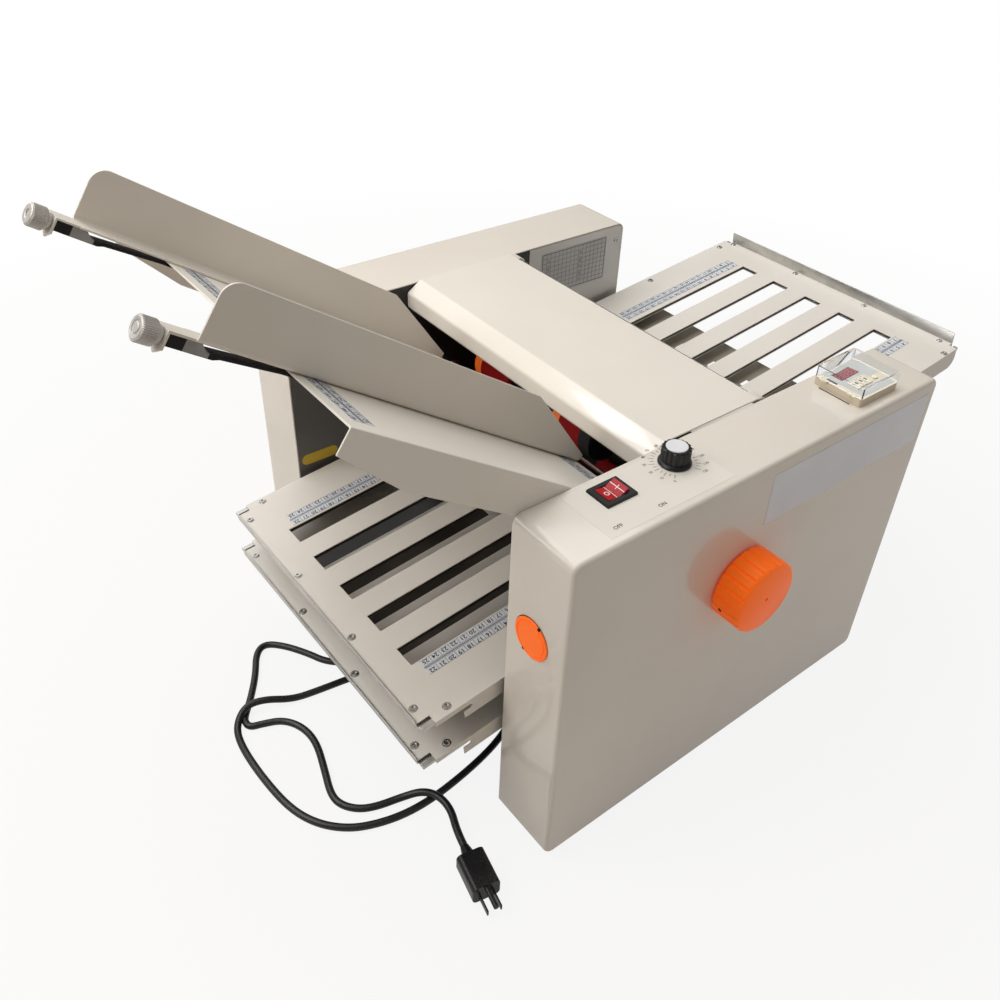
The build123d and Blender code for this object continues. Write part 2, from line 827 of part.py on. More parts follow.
def paper_stop(plane, margin, slots):
    """Stop bar in the paper gap, on two threaded posts with thumb nuts below the backing sheet."""
    rest = margin + slots + stop_back
    width = plate_width - 2 * plate_sheet - 2 * seat_gap - 2 * rail_width - 2 * stop_margin
    with BuildPart() as stop:
        with BuildSketch(plane.offset(backing_top + stop_bar_play)):
            with Locations((rest, 0)):
                Rectangle(stop_bar_width, width)
        extrude(amount=paper_gap - 2 * stop_bar_play)
        nut_top = backing_low - stop_bar_play
        with BuildSketch(plane.offset(nut_top)):
            with Locations((rest, slot_offsets[0]), (rest, slot_offsets[-1])):
                Circle(stop_post_radius)
        extrude(amount=paper_gap + plate_sheet)
        with BuildSketch(plane.offset(nut_top - thumb_nut_height)):
            with Locations((rest, slot_offsets[0]), (rest, slot_offsets[-1])):
                Circle(thumb_nut_radius)
        extrude(amount=thumb_nut_height)
    return stop


hook_end = left_hook_start + hook_slot_length
left_outline = [
    (left_notch, 0),
    (left_notch, -left_flange_shallow),
    (hook_end - hook_slot_height / 2, -left_flange_shallow),
    (hook_end, hook_slot_rise - left_flange_shallow - hook_slot_height),
    (hook_end - hook_slot_height / 2, -left_flange_shallow - hook_slot_height),
    (left_hook_start, -left_flange_shallow - hook_slot_height),
    (left_hook_start, -left_flange_deep),
    (left_plate_length, -left_flange_deep),
    (left_plate_length, 0),
]
right_outline = [
    (right_notch, 0),
    (right_notch, -right_flange_deep),
    (right_plate_length, -right_flange_deep),
    (right_plate_length, 0),
]

upper_left_plate = fold_plate(
    upper_left, left_plate_length, left_slot_margin, left_slots, left_notch, left_outline, 0
)
save(upper_left_plate.part, "upper_left_plate")
upper_left_backing = plate_backing(
    upper_left, left_plate_length, left_slot_margin, left_slots, left_lip_rise, slot_offsets
)
save(upper_left_backing.part, "upper_left_backing")
upper_left_stop = paper_stop(upper_left, left_slot_margin, left_slots)
save(upper_left_stop.part, "upper_left_stop")
lower_left_plate = fold_plate(
    lower_left, left_plate_length, left_slot_margin, left_slots, left_notch, left_outline, 0
)
save(lower_left_plate.part, "lower_left_plate")
# The lowest sheet is open only where the posts of its stop go through
post_slots = (slot_offsets[0], slot_offsets[-1])
lower_left_backing = plate_backing(
    lower_left, left_plate_length, left_slot_margin, left_slots, left_lip_rise, post_slots
)
save(lower_left_backing.part, "lower_left_backing")
lower_left_stop = paper_stop(lower_left, left_slot_margin, left_slots)
save(lower_left_stop.part, "lower_left_stop")
right_plate = fold_plate(
    right_side,
    right_plate_length,
    right_slot_margin,
    right_slots,
    right_notch,
    right_outline,
    right_flange_corner,
)
save(right_plate.part, "right_plate")
right_backing = plate_backing(
    right_side, right_plate_length, right_slot_margin, right_slots, right_lip_rise, slot_offsets
)
save(right_backing.part, "right_backing")
right_stop = paper_stop(right_side, right_slot_margin, right_slots)
save(right_stop.part, "right_stop")

# Short guide plate that hangs under the inner end of the right fold plate
with BuildPart() as short_guide_plate:
    short_width = plate_width - 2 * plate_sheet - 2 * seat_gap
    short_span = short_plate_length
    short_plate_outer = right_plate_length - short_span
    short_window_place = right_plate_length - short_window_inset
    short_top = backing_low - short_plate_drop
    with BuildSketch(right_side.offset(short_top - plate_sheet)):
        with Locations((short_plate_outer + short_span / 2, 0)):
            Rectangle(short_span, short_width)
        for y in slot_offsets:
            with Locations((short_window_place, y)):
                Rectangle(short_window_length, short_window_width, mode=Mode.SUBTRACT)
    extrude(amount=plate_sheet)
    with BuildSketch(right_side.offset(short_top)):
        with Locations(
            (short_plate_outer + short_span / 2, (short_width - plate_sheet) / 2),
            (short_plate_outer + short_span / 2, (plate_sheet - short_width) / 2),
        ):
            Rectangle(short_span, plate_sheet)
    extrude(amount=short_plate_drop)
    with BuildSketch(right_side.offset(short_top - short_plate_bend)):
        with Locations((short_plate_outer + plate_sheet / 2, 0)):
            Rectangle(plate_sheet, short_width)
    extrude(amount=short_plate_bend)
save(short_guide_plate.part, "short_guide_plate")


def solid_turned(place, steps):
    """Turned piece along Y from stacked sections, each given as start, end and radius."""
    with BuildPart() as turned:
        for start, end, radius in steps:
            with BuildSketch(upright(start)):
                with Locations(place):
                    Circle(radius)
            extrude(amount=start - end)
    return turned


# Feed roller: a shaft with two orange hubs and red tyres, and the separator under it
near_pulley_y = journal_front - roller_to_gear - pulley_width
near_shaft_y = near_pulley_y - roller_to_gear
far_shaft_y = far_inner + side_plate_thickness + roller_to_gear / 2
feed_shaft = solid_turned(feed_place, [(near_shaft_y, far_shaft_y, feed_shaft_radius)])

with BuildPart() as feed_tyres:
    hub_ring = feed_tyre_radius - feed_ring_length / 2
    for start in (feed_near_y, feed_far_y):
        with BuildSketch(upright(start)):
            with Locations(feed_place):
                Circle(feed_tyre_radius)
                Circle(feed_shaft_radius, mode=Mode.SUBTRACT)
        extrude(amount=-feed_tyre_length)
        with BuildSketch(upright(start + feed_tyre_length)):
            with Locations(feed_place):
                Circle(hub_ring)
                Circle(feed_shaft_radius, mode=Mode.SUBTRACT)
        extrude(amount=-feed_ring_length)
save(feed_tyres.part, "feed_tyres")

with BuildPart() as separator_block:
    feed_local = table.to_local_coords(Vector(body_left + feed_x, body_front + middle_y, foot_height + feed_z))
    pad_top = feed_local.Z - feed_tyre_radius - separator_gap
    with BuildSketch(side_of(table, -separator_width / 2)):
        with Locations((feed_local.X, pad_top - separator_thickness / 2)):
            Rectangle(separator_length, separator_thickness)
    extrude(amount=-separator_width)
    with BuildSketch(side_of(table, seat_gap - inner_width / 2)):
        with Locations((feed_local.X, pad_top - separator_thickness - separator_bar_height / 2)):
            Rectangle(separator_bar_width, separator_bar_height)
    extrude(amount=2 * seat_gap - inner_width)
save(separator_block.part, "separator_block")

# Fold rollers with journals; thin grooves part their bands
roller_radius = (roller_pitch - roller_gap) / 2
roller_start = near_inner + roller_end_gap
roller_end = far_inner - roller_end_gap
journal_end = gear_y + gear_width + hub_length
for number, place in enumerate(roller_places, start=1):
    roller_steps = [
        (journal_front, roller_start, roller_journal),
        (roller_start, roller_end, roller_radius),
        (roller_end, journal_end, roller_journal),
    ]
    fold_roller = solid_turned(place, roller_steps)
    save(fold_roller.part, f"fold_roller_{number}")


def tooth_outline(teeth, turn):
    """Corners of a spur gear whose flanks follow an involute, turned by an angle in degrees."""
    pitch_radius = gear_module * teeth / 2
    base_radius = pitch_radius * cos(radians(pressure_angle))
    tip_radius = pitch_radius + gear_addendum_share * gear_module
    root_radius = pitch_radius - gear_dedendum_share * gear_module
    half_pitch = (pi * gear_module / 2 - gear_backlash) / 2 / pitch_radius
    pitch_share = tan(radians(pressure_angle)) - radians(pressure_angle)
    flank = []
    for radius in (root_radius, max(root_radius, base_radius), pitch_radius, tip_radius):
        lean = acos(min(1, base_radius / radius))
        flank.append((radius, half_pitch + pitch_share - (tan(lean) - lean)))
    corners = []
    for k in range(teeth):
        middle = radians(turn) + 2 * pi * k / teeth
        for radius, half in flank:
            corners.append((radius * cos(middle - half), radius * sin(middle - half)))
        for radius, half in reversed(flank):
            corners.append((radius * cos(middle + half), radius * sin(middle + half)))
    kept = []
    for corner in corners:
        if not kept or abs(corner[0] - kept[-1][0]) + abs(corner[1] - kept[-1][1]) > bore_clearance:
            kept.append(corner)
    return kept


def spur_gear(place, teeth, turn, bore):
    """Spur gear with a hub on its outer side."""
    with BuildPart() as gear:
        with BuildSketch(upright(gear_y)):
            with Locations(place):
                Polygon(*tooth_outline(teeth, turn), align=None)
                Circle(bore, mode=Mode.SUBTRACT)
        extrude(amount=-gear_width)
        with BuildSketch(upright(gear_y + gear_width)):
            with Locations(place):
                Circle(hub_radius)
                Circle(bore, mode=Mode.SUBTRACT)
        extrude(amount=-hub_length)
    return gear


for number, place in enumerate(roller_places, start=1):
    fold_gear = spur_gear(place, gear_teeth, gear_angles[number - 1], roller_journal)
    save(fold_gear.part, f"fold_gear_{number}")
drive_gear = spur_gear(drive_place, drive_teeth, drive_angle, wheel_bore_radius)

# Bearing rings in both side plates
with BuildPart() as roller_bearings:
    for start in (near_plate_y, far_inner):
        with BuildSketch(upright(start)):
            with Locations(*bearing_places):
                Circle(bearing_radius)
                Circle(wheel_bore_radius + bore_clearance, mode=Mode.SUBTRACT)
        extrude(amount=-side_plate_thickness)
save(roller_bearings.part, "roller_bearings")

# Drive: handwheel, drive shaft, drive gear and pulleys, belts and motor
wheel_front = -wheel_gap - wheel_thickness
with BuildPart() as handwheel:
    with BuildSketch(upright(wheel_front)):
        with Locations(drive_place):
            Circle(wheel_radius)
            with PolarLocations(wheel_radius, wheel_flutes):
                Circle(wheel_flute_radius, mode=Mode.SUBTRACT)
    extrude(amount=-wheel_thickness)
    with BuildSketch(upright(wheel_front)):
        with Locations(drive_place):
            Circle(wheel_dish_radius)
    extrude(amount=-wheel_dish_depth, mode=Mode.SUBTRACT)
    with BuildSketch(upright(wheel_front)):
        with Locations(drive_place):
            Circle(wheel_bore_radius)
    extrude(amount=-wheel_thickness, mode=Mode.SUBTRACT)
save(handwheel.part, "handwheel")

shaft_front = wheel_front + wheel_dish_depth
drive_shaft = solid_turned(drive_place, [(shaft_front, shaft_end_y, wheel_bore_radius)])
save(drive_shaft.part, "drive_shaft")


def pulley(place, start, radius, bore):
    """Flat pulley whose belt rides on its middle, between two low rims."""
    rim = (pulley_width - belt_width) / 2
    with BuildPart() as wheel:
        with BuildSketch(upright(start)):
            with Locations(place):
                Circle(radius)
                Circle(bore, mode=Mode.SUBTRACT)
        extrude(amount=-pulley_width)
        for y in (start, start + pulley_width - rim / 2):
            with BuildSketch(upright(y)):
                with Locations(place):
                    Circle(radius + belt_thickness)
                    Circle(bore, mode=Mode.SUBTRACT)
            extrude(amount=-rim / 2)
    return wheel


feed_drive_pulley = pulley(drive_place, near_pulley_y, feed_pulley_radius, wheel_bore_radius)
motor_drive_pulley = pulley(drive_place, pulley_y, drive_pulley_radius, wheel_bore_radius)
drive_wheels = Part(children=[drive_gear.part, feed_drive_pulley.part, motor_drive_pulley.part])
save(drive_wheels, "drive_wheels")
feed_pulley = pulley(feed_place, near_pulley_y, feed_pulley_radius, feed_shaft_radius)
save(Part(children=[feed_shaft.part, feed_pulley.part]), "feed_shaft")
motor_pulley = pulley(motor_place, pulley_y, motor_pulley_radius, motor_shaft_radius)


def belt_loop(first, first_radius, second, second_radius, start):
    """Closed flat belt round two pulleys."""
    run = ((second[0] - first[0]) ** 2 + (second[1] - first[1]) ** 2) ** 0.5
    line = degrees(atan2(second[1] - first[1], second[0] - first[0]))
    lean = degrees(acos((first_radius - second_radius) / run))
    rim = (pulley_width - belt_width) / 2
    with BuildPart() as belt:
        for growth, mode in ((belt_thickness + belt_play, Mode.ADD), (belt_play, Mode.SUBTRACT)):
            corners = []
            for side in (1, -1):
                for place, radius in ((first, first_radius + growth), (second, second_radius + growth)):
                    corners.append(step_from(place, radius, line + side * lean))
            with BuildSketch(upright(start + rim)):
                with Locations(first):
                    Circle(first_radius + growth)
                with Locations(second):
                    Circle(second_radius + growth)
                Polygon(corners[0], corners[1], corners[3], corners[2], align=None)
            extrude(amount=-belt_width, mode=mode)
    return belt


feed_belt = belt_loop(drive_place, feed_pulley_radius, feed_place, feed_pulley_radius, near_pulley_y)
motor_belt = belt_loop(drive_place, drive_pulley_radius, motor_place, motor_pulley_radius, pulley_y)
save(Part(children=[feed_belt.part, motor_belt.part]), "drive_belts")

with BuildPart() as drive_motor:
    motor_face = far_inner - seat_gap
    with BuildSketch(upright(motor_face - motor_length)):
        with Locations(motor_place):
            Circle(motor_radius)
    extrude(amount=-motor_length)
    fillet(drive_motor.faces().sort_by(Axis.Y)[0].edges(), radius=motor_shaft_radius)
save(drive_motor.part, "drive_motor")
motor_shaft = solid_turned(motor_place, [(motor_face, pulley_y + pulley_width, motor_shaft_radius)])
save(Part(children=[motor_shaft.part, motor_pulley.part]), "motor_pulley")


def block(x, y, low, length, width, height, corner):
    """Upright block centred at x and y, from height low, with rounded upright corners."""
    with BuildPart() as body:
        with BuildSketch(level(low)):
            with Locations((x, y)):
                RectangleRounded(length, width, corner)
        extrude(amount=height)
    return body.part


# Rocker switch: a bezel that sits in the panel and a rocker that turns in it about Y
rocker_inner_length = rocker_length - 2 * rocker_rim - 2 * rocker_frame
rocker_inner_width = rocker_width - 2 * rocker_rim - 2 * rocker_frame
with BuildPart() as rocker_bezel:
    with BuildSketch(level(body_height)):
        with Locations((rocker_x, rocker_y)):
            Rectangle(rocker_length, rocker_width)
    extrude(amount=rocker_frame, taper=rocker_bezel_slope)
    with BuildSketch(level(body_height - rocker_body_depth)):
        with Locations((rocker_x, rocker_y)):
            Rectangle(
                rocker_length - 2 * rocker_rim - 2 * seat_gap,
                rocker_width - 2 * rocker_rim - 2 * seat_gap,
            )
    extrude(amount=rocker_body_depth)
    with BuildSketch(level(body_height - rocker_sink)):
        with Locations((rocker_x, rocker_y)):
            Rectangle(rocker_inner_length, rocker_inner_width)
    extrude(amount=rocker_sink + rocker_frame, mode=Mode.SUBTRACT)
    with BuildSketch(upright(rocker_y - rocker_inner_width / 2 - rocker_pin_reach)):
        with Locations((rocker_x, body_height - rocker_pivot_drop)):
            Circle(rocker_pivot_radius + bore_clearance)
    extrude(amount=-rocker_inner_width - 2 * rocker_pin_reach, mode=Mode.SUBTRACT)
save(rocker_bezel.part, "rocker_bezel")

with BuildPart() as rocker:
    lean = radians(rocker_angle)
    rocker_half_width = rocker_inner_width / 2 - rocker_play
    pivot_spot = level(0).from_local_coords(Vector(rocker_x, rocker_y, body_height - rocker_pivot_drop))
    rocker_spot = pivot_spot - Vector(0, rocker_half_width, 0)
    rocker_plane = Plane(origin=rocker_spot, x_dir=(cos(lean), 0, sin(lean)), z_dir=(0, -1, 0))
    with BuildSketch(rocker_plane):
        with BuildLine():
            Polyline(
                (-rocker_half, rocker_end_rise),
                (0, rocker_end_rise - rocker_crown),
                (rocker_half, rocker_end_rise),
                (rocker_half, 0),
                (rocker_pivot_radius, -rocker_pivot_radius),
                (-rocker_pivot_radius, -rocker_pivot_radius),
                (-rocker_half, 0),
                close=True,
            )
        make_face()
    extrude(amount=-2 * rocker_half_width)
    pin_start = rocker_half_width + rocker_play + rocker_pin_reach - seat_gap
    pin_plane = Plane(
        origin=pivot_spot - Vector(0, pin_start, 0), x_dir=(1, 0, 0), z_dir=(0, -1, 0)
    )
    with BuildSketch(pin_plane):
        Circle(rocker_pivot_radius)
    extrude(amount=-2 * pin_start)
save(rocker.part, "rocker")

# Speed knob with its skirt and shaft
with BuildPart() as speed_knob:
    with BuildSketch(level(body_height + speed_lift)):
        with Locations((speed_x, speed_y)):
            Circle(speed_skirt_radius)
    extrude(amount=speed_skirt_height)
    with BuildSketch(level(body_height + speed_lift + speed_skirt_height)):
        with Locations((speed_x, speed_y)):
            Circle(speed_grip_radius)
            with PolarLocations(speed_grip_radius, speed_flutes):
                Circle(speed_flute_radius, mode=Mode.SUBTRACT)
    extrude(amount=speed_height - speed_skirt_height)
    with BuildSketch(level(body_height - speed_pot_depth)):
        with Locations((speed_x, speed_y)):
            Circle(speed_shaft_radius)
    extrude(amount=speed_pot_depth + speed_lift)
save(speed_knob.part, "speed_knob")

# Counter: base with its body in the box, clear hinged lid, preset keys and reset key
counter_middle = (counter_x + counter_length / 2, counter_y + counter_width / 2)
counter_top = body_height + counter_base_height
digit_middle = (digit_count - 1) / 2
digit_x = counter_x + digit_key_in
digit_y = counter_y + digit_key_back
digit_places = [(digit_x + (k - digit_middle) * digit_key_pitch, digit_y) for k in range(digit_count)]
key_place = (counter_x + counter_key_in, counter_y + counter_key_back)
lid_hinge = (counter_x - lid_hinge_out, counter_top + counter_seam - lid_hinge_rise)
lid_lug_starts = [
    counter_y + lid_knuckle_inset,
    counter_y + counter_width - lid_knuckle_inset - lid_knuckle_length,
]
base_knuckle_starts = [
    lid_lug_starts[0] + lid_knuckle_length + seat_gap,
    lid_lug_starts[1] - lid_knuckle_length - seat_gap,
]
with BuildPart() as counter_base:
    with BuildSketch(level(body_height)):
        with Locations(counter_middle):
            RectangleRounded(counter_length, counter_width, counter_corner)
    extrude(amount=counter_base_height)
    with BuildSketch(level(body_height - counter_body_depth)):
        with Locations(counter_middle):
            Rectangle(
                counter_length - 2 * counter_body_inset - 2 * seat_gap,
                counter_width - 2 * counter_body_inset - 2 * seat_gap,
            )
    extrude(amount=counter_body_depth)
    with BuildSketch(level(counter_top - counter_window_depth)):
        with Locations((counter_x + counter_window_in, counter_y + counter_window_back)):
            Rectangle(counter_window_length, counter_window_width)
    extrude(amount=counter_window_depth, mode=Mode.SUBTRACT)
    with BuildSketch(level(counter_top - digit_key_depth - counter_key_travel)):
        with Locations(*digit_places):
            Rectangle(digit_key_length + 2 * counter_key_play, digit_key_width + 2 * counter_key_play)
        with Locations(key_place):
            Circle(counter_key_radius + counter_key_play)
    extrude(amount=digit_key_depth + counter_key_travel, mode=Mode.SUBTRACT)
    for start in base_knuckle_starts:
        with BuildSketch(upright(start)):
            with Locations(lid_hinge):
                Circle(lid_knuckle_radius)
            with Locations((counter_x, counter_top - lid_knuckle_radius / 2)):
                Rectangle(2 * lid_hinge_out, lid_knuckle_radius)
        extrude(amount=-lid_knuckle_length)
    for start, reach in ((lid_lug_starts[0], 1), (lid_lug_starts[1] + lid_knuckle_length, -1)):
        with BuildSketch(upright(start)):
            with Locations(lid_hinge):
                Circle(lid_pin_radius)
        extrude(amount=-reach * (lid_knuckle_length + 2 * seat_gap))
save(counter_base.part, "counter_base")

lid_low = counter_top + counter_seam
with BuildPart() as counter_lid:
    with BuildSketch(level(lid_low)):
        with Locations(counter_middle):
            RectangleRounded(counter_length, counter_width, counter_corner)
    extrude(amount=counter_lid_height)
    with BuildSketch(level(lid_low)):
        with Locations(counter_middle):
            Rectangle(counter_length - 2 * counter_lid_wall, counter_width - 2 * counter_lid_wall)
    extrude(amount=counter_lid_height - counter_lid_wall, mode=Mode.SUBTRACT)
    for start in lid_lug_starts:
        with BuildSketch(upright(start)):
            with Locations(lid_hinge):
                Circle(lid_knuckle_radius)
            with Locations((counter_x - (lid_hinge_out - lid_knuckle_radius) / 2, lid_low + lid_knuckle_radius / 2)):
                Rectangle(lid_hinge_out + lid_knuckle_radius, lid_knuckle_radius)
            with Locations(lid_hinge):
                Circle(lid_pin_radius + bore_clearance, mode=Mode.SUBTRACT)
        extrude(amount=-lid_knuckle_length)
save(counter_lid.part, "counter_lid")

with BuildPart() as counter_reset_key:
    with BuildSketch(level(counter_top - digit_key_depth)):
        with Locations(key_place):
            Circle(counter_key_radius)
    extrude(amount=digit_key_depth + counter_key_rise)
save(counter_reset_key.part, "counter_reset_key")

for number, place in enumerate(digit_places, start=1):
    with BuildPart() as digit_key:
        with BuildSketch(level(counter_top - digit_key_depth)):
            with Locations(place):
                Rectangle(digit_key_length, digit_key_width)
        extrude(amount=digit_key_depth + digit_key_rise)
    save(digit_key.part, f"counter_preset_key_{number}")

# Access cap on the left end of the near box
with BuildPart() as access_cap:
    with BuildSketch(endwise(-cap_rise)):
        with Locations((cap_y, cap_z)):
            Circle(cap_radius)
    extrude(amount=cap_rise - seat_gap)
    fillet(access_cap.faces().sort_by(Axis.X)[0].edges(), radius=cap_edge)
    with BuildSketch(endwise(-seat_gap)):
        with Locations((cap_y, cap_z)):
            Circle(cap_neck_radius)
    extrude(amount=cap_neck_depth + seat_gap)
    with BuildSketch(endwise(-cap_rise)):
        with Locations((cap_y, cap_z)):
            Circle(cap_groove_radius)
            Circle(cap_groove_radius - cap_groove_width, mode=Mode.SUBTRACT)
    extrude(amount=cap_groove_depth, mode=Mode.SUBTRACT)
save(access_cap.part, "access_cap")

# Top cover: a bent sheet with lugs on its hinge rod
cover_start = near_inner + cover_gap
cover_width = inner_width - 2 * cover_gap
cover_line = body_height + cover_rise
with BuildPart() as top_cover:
    with BuildSketch(upright(cover_start)) as cover_shape:
        with BuildLine() as cover_path:
            FilletPolyline(
                (cover_lip_x, body_height - cover_lip_drop),
                (cover_front_x, body_height - cover_front_low_drop),
                (cover_front_x, body_height - cover_front_top_drop),
                (cover_top_start, cover_line),
                (cover_top_end, cover_line),
                radius=cover_bend,
            )
        trace(cover_path.edges(), line_width=cover_sheet)
    extrude(amount=-cover_width)
    lug_starts = (cover_start, cover_start + cover_width - hinge_lug_length)
    for start in lug_starts:
        with BuildSketch(upright(start)):
            with Locations((hinge_x, hinge_z)):
                Circle(hinge_lug_radius)
            with Locations(((cover_top_end + hinge_x) / 2, cover_line - hinge_web / 2)):
                Rectangle(hinge_x - cover_top_end, hinge_web)
            with Locations((hinge_x, hinge_z)):
                Circle(hinge_rod_radius + bore_clearance, mode=Mode.SUBTRACT)
        extrude(amount=-hinge_lug_length)
save(top_cover.part, "top_cover")

# Mains lead: gland on the near side plate, cord on the floor, plug
with BuildPart() as cord_gland:
    with BuildSketch(upright(near_inner)):
        with Locations(gland_place):
            Circle(gland_flange)
    extrude(amount=-gland_flange_thickness)
    with BuildSketch(upright(near_plate_y - gland_nut_thickness)):
        with Locations(gland_place):
            Circle(gland_radius_wide)
    extrude(amount=-gland_nut_thickness - side_plate_thickness)
    with BuildSketch(upright(near_inner + gland_flange_thickness)) as wide_end:
        with Locations(gland_place):
            Circle(gland_radius_wide)
    with BuildSketch(upright(near_inner + gland_length)) as narrow_end:
        with Locations(gland_place):
            Circle(gland_radius_narrow)
    loft()
    with BuildSketch(upright(near_plate_y - gland_nut_thickness)):
        with Locations(gland_place):
            Circle(cord_radius + bore_clearance)
    extrude(amount=-gland_length - 2 * gland_nut_thickness, mode=Mode.SUBTRACT)
save(cord_gland.part, "cord_gland")


def arc_radii(points):
    """Radius at each inner point: a share of the shorter run beside it, as far as its turn allows."""
    radii = []
    for before, here, after in zip(points, points[1:], points[2:]):
        first = here - before
        second = after - here
        shorter = min(first.length, second.length)
        radii.append(arc_share * shorter / tan(radians(first.get_angle(second)) / 2))
    return radii


cord_points = [Vector(body_left + x, body_front + y, height) for x, y, height in cord_route]
cord_start = Plane(origin=cord_points[0], z_dir=cord_points[1] - cord_points[0])
with BuildPart() as power_cord:
    with BuildLine() as cord_path:
        FilletPolyline(*cord_points, radius=arc_radii(cord_points))
    with BuildSketch(cord_start):
        Circle(cord_radius)
    sweep(path=cord_path.wires()[0], transition=Transition.RIGHT)
save(power_cord.part, "power_cord")

# Plug: moulded body with a neck for the lead, two blades and an earth pin
plug_back = cord_points[-1]
plug_end = Vector(body_left + plug_tip[0], body_front + plug_tip[1], plug_lift)
plug_way = (plug_end - plug_back).normalized()
plug_plane = Plane(origin=plug_back + plug_way * bore_clearance, x_dir=Vector(plug_way.Y, -plug_way.X, 0), z_dir=plug_way)
with BuildPart() as power_plug:
    with BuildSketch(plug_plane) as neck_start:
        Circle(cord_radius + seat_gap)
    with BuildSketch(plug_plane.offset(plug_neck_length)) as neck_end:
        Circle(plug_neck_radius)
    loft()
    with BuildSketch(plug_plane.offset(plug_neck_length)):
        RectangleRounded(plug_width, plug_height, plug_corner)
    extrude(amount=plug_length)
    with BuildSketch(plug_plane.offset(plug_neck_length + plug_length)):
        with Locations((blade_spacing / 2, blade_row), (-blade_spacing / 2, blade_row)):
            Rectangle(blade_thickness, blade_height)
    extrude(amount=blade_length)
    with BuildSketch(plug_plane.offset(plug_neck_length + plug_length)):
        with Locations((0, -earth_pin_drop)):
            Circle(earth_pin_radius)
    extrude(amount=earth_pin_length)
save(power_plug.part, "power_plug")
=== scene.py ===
# %% [markdown]
# # Paper folding machine
# A desktop buckle folder. Sheets lie on the sloping table between two fences, a rubber roller feeds
# them, and six geared rollers push them into the slotted fold plates on both sides. The sizes and
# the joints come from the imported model, and this script gives it its camera, light and finishes.

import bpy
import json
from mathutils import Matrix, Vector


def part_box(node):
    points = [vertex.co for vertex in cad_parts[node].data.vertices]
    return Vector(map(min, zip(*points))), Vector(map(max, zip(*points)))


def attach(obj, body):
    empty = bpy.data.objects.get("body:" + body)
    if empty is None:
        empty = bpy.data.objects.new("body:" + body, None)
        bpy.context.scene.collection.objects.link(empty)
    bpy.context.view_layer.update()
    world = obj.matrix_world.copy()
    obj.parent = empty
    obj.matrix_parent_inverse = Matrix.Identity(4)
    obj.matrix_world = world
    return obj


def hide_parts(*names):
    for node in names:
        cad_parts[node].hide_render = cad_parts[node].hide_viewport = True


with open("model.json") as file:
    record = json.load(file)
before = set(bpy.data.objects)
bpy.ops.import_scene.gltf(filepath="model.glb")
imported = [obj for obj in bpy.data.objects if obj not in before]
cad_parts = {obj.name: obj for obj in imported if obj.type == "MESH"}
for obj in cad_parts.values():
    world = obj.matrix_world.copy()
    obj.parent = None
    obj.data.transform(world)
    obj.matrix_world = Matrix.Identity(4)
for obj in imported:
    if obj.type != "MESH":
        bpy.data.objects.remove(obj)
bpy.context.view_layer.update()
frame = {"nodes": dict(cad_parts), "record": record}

# %% Imports
import json
import math

import bmesh
import bpy
from mathutils import Matrix, Vector

scene = bpy.context.scene
scene.view_settings.view_transform = "Standard"
MM = 0.001
nodes = frame["nodes"]
print("nodes", len(nodes))

# %% [markdown]
# ## Places on the machine
# Everything on the machine is measured in millimetres from the lower outer left corner of the
# near side box. One helper turns such a place into metres of the model, and another gives the
# matrix of a sloping sheet, with its own directions along, across and out of the sheet. Placing
# by such a matrix is easier than by three angles, because the numbers are read off the sheet.

# %% Measures from the near box's corner
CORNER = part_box("near_side_cover")[0]
PAPER_MIDDLE = 248.5
TABLE_TILT = 34.6
PLATE_TILT = 6.8
BOX_TOP = 349.0
FAR_WALL = 427.0


def at(x, y, z):
    """A place in metres, from millimetres off the near box's lower left corner."""
    return CORNER + Vector((x, y, z)) * MM


def moved(x, y, z):
    """Matrix that moves a mesh by millimetres."""
    return Matrix.Translation((x, y, z))


def spun(degrees, axis="Z"):
    """Matrix that turns a mesh round one axis."""
    return Matrix.Rotation(math.radians(degrees), 4, axis)


def slope(x, z, angle, inward=1):
    """Matrix of a sloping sheet: millimetres along, across from the middle, and out of it."""
    turn = math.radians(angle)
    along = Vector((inward * math.cos(turn), 0, inward * math.sin(turn)))
    out = Vector((-math.sin(turn), 0, math.cos(turn)))
    across = out.cross(along)
    turned = Matrix((along, across, out)).transposed().to_4x4()
    return Matrix.Translation(at(x, PAPER_MIDDLE, z)) @ turned @ Matrix.Scale(MM, 4)


TABLE = slope(-124.6, 475.0, -TABLE_TILT)
UPPER_LEFT = slope(-77.4, 156.9, PLATE_TILT)
LOWER_LEFT = slope(-77.4, 108.9, PLATE_TILT)
RIGHT = slope(638.0, 284.6, PLATE_TILT, -1)
FLAT = Matrix.Translation(CORNER) @ Matrix.Scale(MM, 4)
UPRIGHT = spun(90, "X")
print("near box corner", [round(v, 4) for v in CORNER])

# %% [markdown]
# ## Camera, floor and light
# The camera stands where the photograph was taken from, above the near left corner. The floor is
# plain and pale. The camera sees it white and a mirrored ray sees it half white, but it lights the
# machine at a plain level, so the pale paint doesn't wash out. A bright floor would be simpler, but
# its light would bounce up and flatten every shade.

# %% Camera
CAMERA_PLACE = at(-350.7, -353.2, 799.5)
CAMERA_AZIMUTH = math.radians(40.66)
CAMERA_DOWN = math.radians(36.78)
CAMERA_ROLL = math.radians(3.40)
CAMERA_LENS = 35.128
CAMERA_SHIFT = (-0.0281, -0.0270)

